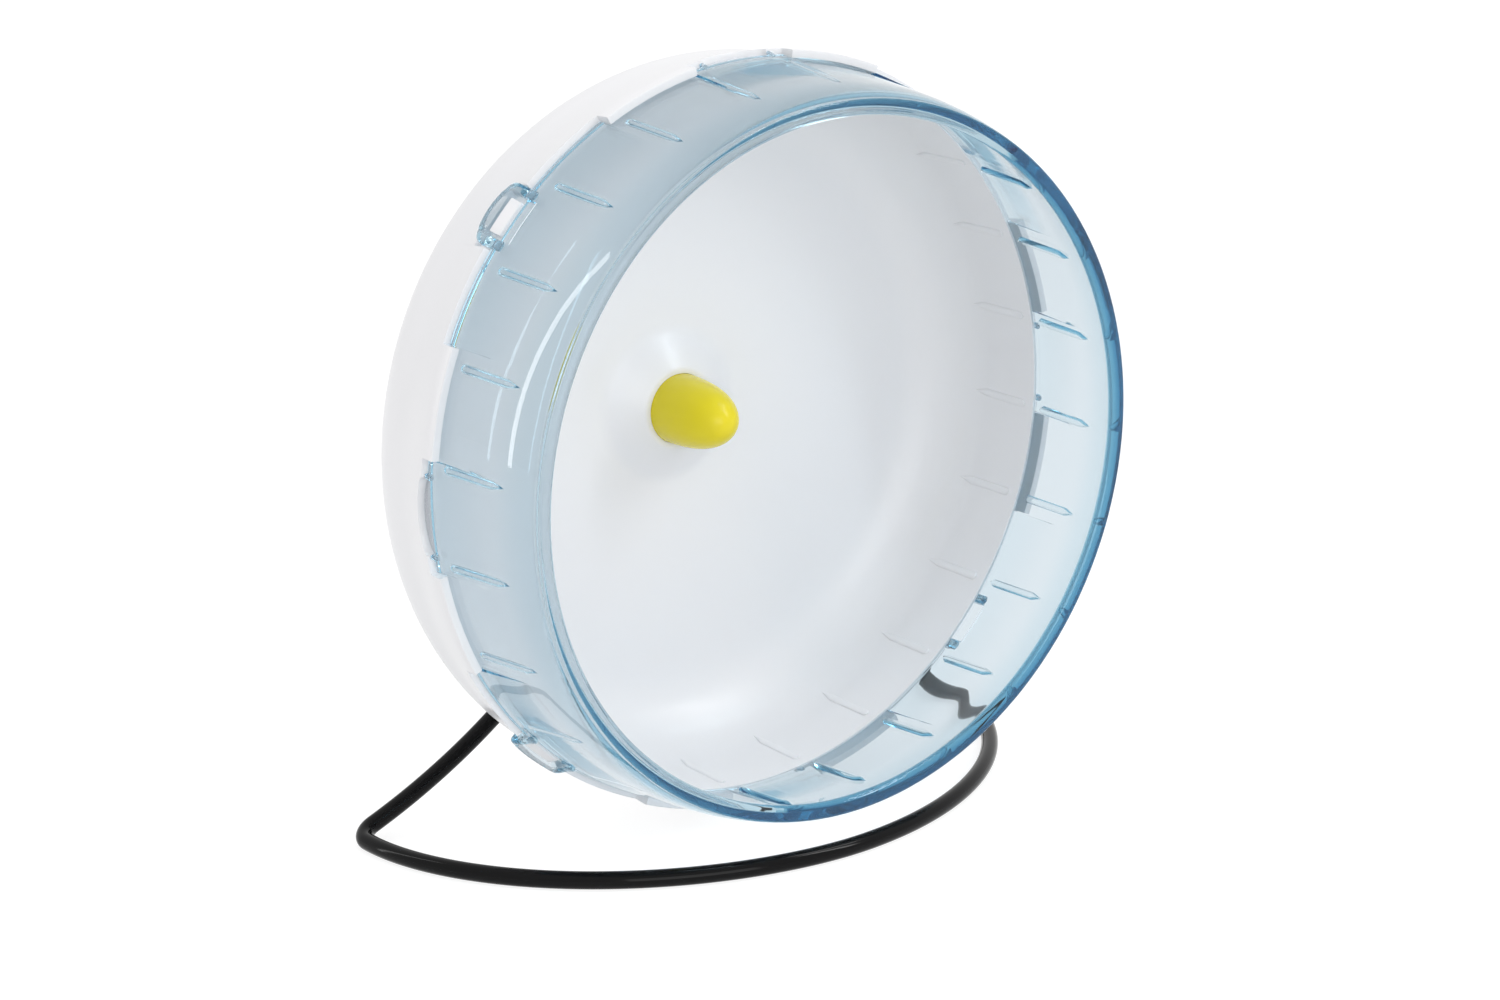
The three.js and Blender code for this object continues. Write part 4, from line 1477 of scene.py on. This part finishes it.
@dataclass(frozen=True)
class Stand:
    """Wire with its floor loop and legs, bearing block, clamp screws and nut."""

    space: AxleSpace
    wire: float = 2.5
    wire_edge: float = 0.4
    rest_flat: float = 0.15
    loop_half: float = 103.0
    loop_bow: float = 88.3
    loop_back: float = 89.8
    loop_power: float = 1.9
    bend: float = 6.0
    rise: float = 20.9
    lean: float = 2.0
    lower_pull: float = 49.0
    upper_pull: float = 38.0
    leg_spacing: float = 22.0
    leg_end: float = 12.0
    block_middle: float = 97.0
    block_half_wide: float = 18.0
    block_below: float = 18.0
    block_above: float = 17.0
    block_corner: float = 5.0
    block_half: float = 5.5
    block_slit: float = 0.15
    block_edges: Point = (1.2, 0.3)
    screw_rise: float = 11.5
    screw_sink: float = 3.6
    screw_radius: float = 1.5
    screw_point: Point = (0.3, 0.4)
    head_radius: float = 3.0
    head_lift: float = 0.3
    head_edge: float = 0.15
    head_side: float = 0.9
    head_dome: float = 1.3
    socket_radius: float = 1.2
    socket_edge: float = 0.1
    socket_floor: float = 1.0
    nut_front: float = 102.8
    nut_height: float = 4.0
    nut_corners: float = 11.5
    nut_bore: float = 3.3
    nut_chamfer: float = 0.3
    nut_chamfer_depth: float = 0.35
    nut_face: float = 0.97
    nut_cone: float = 30.0

    def half_line(self) -> np.ndarray:
        """Right half of the wire's middle line, from the front of the loop to the leg's end.

        The loop's side and depth follow sin t and cos t to the power 2/loop power. A circular bend turns it
        into the leg, which is a cubic Bezier curve up to the block and straight inside it.

        Returns:
            Points by 3: side, place and height.
        """
        floor = self.wire - self.rest_flat
        turn = np.linspace(0.0, np.pi / 2.0, 110)
        side = self.loop_half * np.sin(turn) ** (2.0 / self.loop_power)
        back = self.loop_back - self.loop_bow * np.cos(turn) ** (2.0 / self.loop_power)
        loop = np.column_stack([side, back, np.full(len(turn), floor)])
        rise, lean = math.radians(self.rise), math.radians(self.lean)
        leg = np.array([-math.cos(rise) * math.cos(lean), math.sin(lean), math.sin(rise) * math.cos(lean)])
        along = np.array([0.0, 1.0, 0.0])
        inward = leg - along * leg[1]
        inward /= np.linalg.norm(inward)
        swing = np.linspace(0.0, math.acos(leg[1]), 22)[1:, None]
        bend = loop[-1] + along * self.bend * np.sin(swing) + inward * self.bend * (1.0 - np.cos(swing))
        foot = bend[-1]
        up = np.array([0.0, 0.0, 1.0])
        top = np.array([self.leg_spacing / 2.0, self.block_middle, self.space.height - self.block_below])
        share = np.linspace(0.0, 1.0, 70)[1:, None]
        pulls = [foot, foot + leg * self.lower_pull, top - up * self.upper_pull, top]
        weights = [(1 - share) ** 3, 3 * share * (1 - share) ** 2, 3 * share**2 * (1 - share), share**3]
        curve = sum(weight * pull for weight, pull in zip(weights, pulls))
        inside = top + up * np.linspace(0.0, self.block_below + self.leg_end, 8)[1:, None]
        return np.concatenate([loop, bend, curve, inside])

    def wire_grid(self) -> Grid:
        """Round wire swept along its line, flat where it would pass the floor.

        The section's frame leans on one fixed direction for each half: up from the leg's own slope.

        Returns:
            The closed grid.
        """
        half = self.half_line()
        line = np.concatenate([half[:0:-1] * np.array([-1.0, 1.0, 1.0]), half])
        tangent = np.gradient(line, axis=0)
        tangent /= np.linalg.norm(tangent, axis=1, keepdims=True)
        lean = math.radians(self.rise)
        side = np.where(line[:, 0] >= 0.0, math.sin(lean), -math.sin(lean))
        guide = np.column_stack([side, np.zeros(len(line)), np.full(len(line), math.cos(lean))])
        up = guide - tangent * np.einsum("ij,ij->i", guide, tangent)[:, None]
        up /= np.linalg.norm(up, axis=1, keepdims=True)
        across = np.cross(tangent, up)
        turn = np.linspace(0.0, 2.0 * np.pi, 36, endpoint=False)
        ends = np.array([0.0, self.wire - self.wire_edge])
        size = np.concatenate([ends, np.full(len(line) - 4, self.wire), ends[::-1]])
        ring = across[:, None] * np.cos(turn)[:, None] + up[:, None] * np.sin(turn)[:, None]
        line[1], line[-2] = line[0], line[-1]
        points = line[:, None] + ring * size[:, None, None]
        points[..., 1] += self.space.front
        points[..., 2] = np.maximum(points[..., 2], 0.0)
        return Grid(points * MM)

    def slab(self, front: float, back: float, edges: Point) -> Grid:
        """Block half: a rounded rectangle grown from its middle, over the edge and back.

        Args:
            front: Front face's place.
            back: Back face's place.
            edges: Rounding of the front and the back edge.

        Returns:
            The closed grid.
        """
        turn = np.linspace(0.0, 2.0 * np.pi, 128, endpoint=False) + np.pi / 256.0
        across, up = np.cos(turn), np.sin(turn)
        corner = self.block_corner
        wide = self.block_half_wide - corner
        low, high = -self.block_below + corner, self.block_above - corner
        centre = np.column_stack([np.sign(across) * wide, np.where(up > 0, high, low)])
        share = np.radians(np.linspace(0.0, 90.0, 6))
        first = np.column_stack([-edges[0] * (1 - np.sin(share)), front + edges[0] * (1 - np.cos(share))])
        second = np.column_stack([-edges[1] * (1 - np.cos(share)), back - edges[1] * (1 - np.sin(share))])
        edge = np.concatenate([first, second])
        rim = centre[None] + (corner + edge[:, :1, None]) * np.column_stack([across, up])[None]
        # Rings of the flat faces, from the middle almost to the rim
        growth = 0.98 * np.array([0.0, 0.5, 0.98])[:, None, None]
        outline = np.concatenate([rim[:1] * growth, rim, rim[-1:] * growth[::-1]])
        place = np.concatenate([[front] * 3, edge[:, 1], [back] * 3])[:, None] + self.space.front
        place = np.broadcast_to(place, outline.shape[:2])
        return Grid(np.stack([outline[..., 0], place, self.space.height + outline[..., 1]], -1) * MM)

    def nut(self) -> Grid:
        """Hexagon nut: the radius is the lesser of the hexagon's and of a cone that cuts the corners.

        Returns:
            The closed grid.
        """
        angle = np.linspace(0.0, 2.0 * np.pi, 144, endpoint=False)
        flat_radius = self.nut_corners / 2.0 * math.cos(math.pi / 6.0)
        hexagon = flat_radius / np.cos(np.mod(angle, np.pi / 3.0) - np.pi / 6.0)
        depth = np.array([0.0, 0.08, 0.18, 0.3, 0.45, 0.65])
        cone = flat_radius * self.nut_face + depth / math.tan(math.radians(self.nut_cone))
        front, back = self.nut_front, self.nut_front + self.nut_height
        side = np.concatenate([depth, self.nut_height - depth[::-1]])
        body = np.minimum(np.concatenate([cone, cone[::-1]])[:, None], hexagon[None])
        wide = self.nut_bore + self.nut_chamfer
        bore = np.array([wide, self.nut_bore, self.nut_bore, wide])
        radius = np.concatenate([body, bore[:, None] * np.ones(len(angle))])
        cut = self.nut_chamfer_depth
        place = np.concatenate([front + side, [back, back - cut, front + cut, front]])[:, None]
        return Grid(self.space.points(radius, place, angle[None]), wrap_rows=True)

    def screw(self, rise: float) -> Grid:
        """Pan head screw with a six-sided socket.

        Args:
            rise: Height of its axis above the axle.

        Returns:
            The closed grid.
        """
        front = self.block_middle - self.screw_sink
        head = self.block_middle + self.block_half + self.head_lift
        radius, wide, edge = self.screw_radius, self.head_radius, self.head_edge
        point = [(0.0, front), (radius - self.screw_point[0], front), (radius, front + self.screw_point[1])]
        rim = [(radius, head), (wide - edge, head), (wide, head + edge)]
        dome = arc((wide - self.head_dome, head + self.head_side), self.head_dome, (0, 90), 9)
        socket, chamfer = self.socket_radius, self.socket_edge
        top, floor = head + self.head_side + self.head_dome, head + self.socket_floor
        drive = [(socket + chamfer, top), (socket, top - chamfer), (socket, floor + chamfer), (0.0, floor)]
        profile = np.concatenate([point, rim, dome, drive])
        angle = np.linspace(0.0, 2.0 * np.pi, 72, endpoint=False)
        sides = np.ones((len(profile), len(angle)))
        sides[-4:-1] = math.cos(math.pi / 6.0) / np.cos(np.mod(angle, np.pi / 3.0) - np.pi / 6.0)
        own = AxleSpace(self.space.front, self.space.height + rise)
        return Grid(own.points(profile[:, :1] * sides, profile[:, 1:], angle[None]))

    def build(self, shop: Workshop) -> list[bpy.types.Object]:
        """Makes the stand's pieces.

        Args:
            shop: Workshop that makes them.

        Returns:
            The pieces.
        """
        middle, half, slit = self.block_middle, self.block_half, self.block_slit
        stand = Body.STAND
        front_half = self.slab(middle - half, middle - slit, self.block_edges)
        rear_half = self.slab(middle + slit, middle + half, self.block_edges[::-1])
        upper, lower = self.screw(self.screw_rise), self.screw(-self.screw_rise)
        return [
            shop.piece("wire_loop", [self.wire_grid()], Slot.BLACK, stand, ("wire_stand",)),
            shop.piece("block_front", [front_half], Slot.GREY, stand, ("bearing_block_front",), 40.0),
            shop.piece("block_rear", [rear_half], Slot.GREY, stand, ("bearing_block_rear",), 40.0),
            shop.piece("screw_upper", [upper], Slot.STEEL, stand, ("clamp_screw_upper",)),
            shop.piece("screw_lower", [lower], Slot.STEEL, stand, ("clamp_screw_lower",)),
            shop.piece("nut_rear", [self.nut()], Slot.STEEL, stand, ("axle_nut",), 20.0),
        ]


@dataclass(frozen=True)
class Softbox:
    """Rectangular studio lamp that looks at a point."""

    name: str
    direction: Triple
    distance: float
    width: float
    height: float
    power: float
    target: Triple = (0.0, 0.0, 0.11)

    def place(self) -> bpy.types.Object:
        """Makes the lamp.

        Returns:
            The lamp's object.
        """
        data = bpy.data.lights.new(self.name, "AREA")
        data.shape = "RECTANGLE"
        data.size, data.size_y = self.width, self.height
        data.energy = self.power
        lamp = bpy.data.objects.new(self.name, data)
        way = Vector(self.direction).normalized()
        turned = (-way).to_track_quat("-Z", "Y").to_matrix().to_4x4()
        lamp.matrix_world = Matrix.Translation(Vector(self.target) + way * self.distance) @ turned
        bpy.context.scene.collection.objects.link(lamp)
        return lamp


@dataclass(frozen=True)
class Studio:
    """Plain pale floor, white surroundings, soft lamps and the camera."""

    ambient: float = 0.84
    floor_reach: float = 3.0
    floor_drop: float = 0.0001
    floor_glow: float = 0.83
    floor_grey: float = 0.28
    floor_pale: float = 0.8
    camera_place: Triple = (-581.46, -802.92, 390.83)
    camera_right: Triple = (0.8036639, -0.5947952, -0.0185177)
    camera_up: Triple = (0.1865248, 0.2222312, 0.9569858)
    camera_forward: Triple = (0.5650954, 0.7725490, -0.2895432)
    lens: float = 88.06
    sensor: float = 36.0
    sight: Point = (0.02, 50.0)
    lamps: tuple[Softbox, ...] = (
        Softbox("key_right", (0.479, -0.608, 0.632), 1.6, 0.16, 0.8, 4.0),
        Softbox("strip_left", (-0.739, 0.54, 0.402), 1.6, 0.09, 1.6, 2.6),
        Softbox("top_strip", (0.384, -0.2, 0.9), 1.6, 0.1, 1.0, 3.5),
        Softbox("front_soft", (-0.3, -1.0, 0.15), 1.8, 1.2, 1.2, 8.0),
    )

    def surroundings(self) -> None:
        """White world, dimmer for the light that it gives."""
        bpy.context.scene.world = bpy.data.worlds.new("pale_surroundings")
        sheet = NodeSheet(bpy.context.scene.world)
        level = sheet.add("ShaderNodeMapRange", {"Value": sheet.seen(), "To Min": self.ambient})
        settings = {"Color": (1.0, 1.0, 1.0, 1.0), "Strength": level.outputs["Result"]}
        background = sheet.add("ShaderNodeBackground", settings)
        sheet.add("ShaderNodeOutputWorld", {"Surface": background.outputs[0]})

    def floor(self) -> bpy.types.Object:
        """Pale floor that shows the object's shadow.

        Returns:
            The floor.
        """
        sheet = NodeSheet(bpy.data.materials.new("pale_floor"))
        pale, grey = (
            sheet.add("ShaderNodeBsdfDiffuse", {"Color": (level,) * 3 + (1.0,)}).outputs[0]
            for level in (self.floor_pale, self.floor_grey)
        )
        glow = sheet.add("ShaderNodeEmission", {"Strength": self.floor_glow}).outputs[0]
        both = sheet.add("ShaderNodeAddShader", {0: grey, 1: glow}).outputs[0]
        reach = np.linspace(-self.floor_reach, self.floor_reach, 9)
        across, along = np.meshgrid(reach, reach)
        points = np.stack([across, along, np.full_like(across, -self.floor_drop)], -1)
        mesh = bpy.data.meshes.new("floor")
        faces = Grid(points, wrap_columns=False).quads()
        mesh.from_pydata(points.reshape(-1, 3).tolist(), [], faces.tolist())
        mesh.materials.append(sheet.material(sheet.either(sheet.seen(), pale, both)))
        floor = bpy.data.objects.new("floor", mesh)
        bpy.context.scene.collection.objects.link(floor)
        floor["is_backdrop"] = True
        return floor

    def camera(self) -> bpy.types.Object:
        """Camera at the photograph's viewing angle.

        Returns:
            The camera.
        """
        data = bpy.data.cameras.new("camera")
        data.lens, data.sensor_width = self.lens, self.sensor
        data.clip_start, data.clip_end = self.sight
        made = bpy.data.objects.new("camera", data)
        axes = Matrix([self.camera_right, self.camera_up, [-x for x in self.camera_forward]]).transposed()
        made.matrix_world = Matrix.Translation(Vector(self.camera_place) * MM) @ axes.to_4x4()
        bpy.context.scene.collection.objects.link(made)
        bpy.context.scene.camera = made
        return made

    def build(self) -> None:
        """Sets up the whole studio."""
        self.surroundings()
        self.floor()
        for lamp in self.lamps:
            lamp.place()
        self.camera()
        bpy.context.scene.view_settings.view_transform = "Standard"


def corners(box: tuple[Vector, Vector]) -> list[list[float]]:
    """Two corners as plain lists of numbers."""
    return [list(corner) for corner in box]


def main() -> None:
    logging.basicConfig(level=logging.INFO, format="%(name)s: %(message)s")
    solid_box = corners(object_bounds())
    joint = frame["joints"][0]
    height = joint["pos_m"][2] / MM
    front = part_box("front_ring")[0].y / MM
    plan = DrumPlan()
    turning = AxleSpace(front, height, math.radians(1.8))
    still = AxleSpace(front, height)
    shop = Workshop()
    FrontRing(plan, turning).build(shop)
    BackDish(plan, turning).build(shop)
    Hub(turning, still).build(shop)
    Stand(still).build(shop)
    Studio().build()
    shown_box = corners(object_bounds())
    log.info("solids %s shown %s", solid_box, shown_box)


if __name__ == "__main__":
    main()
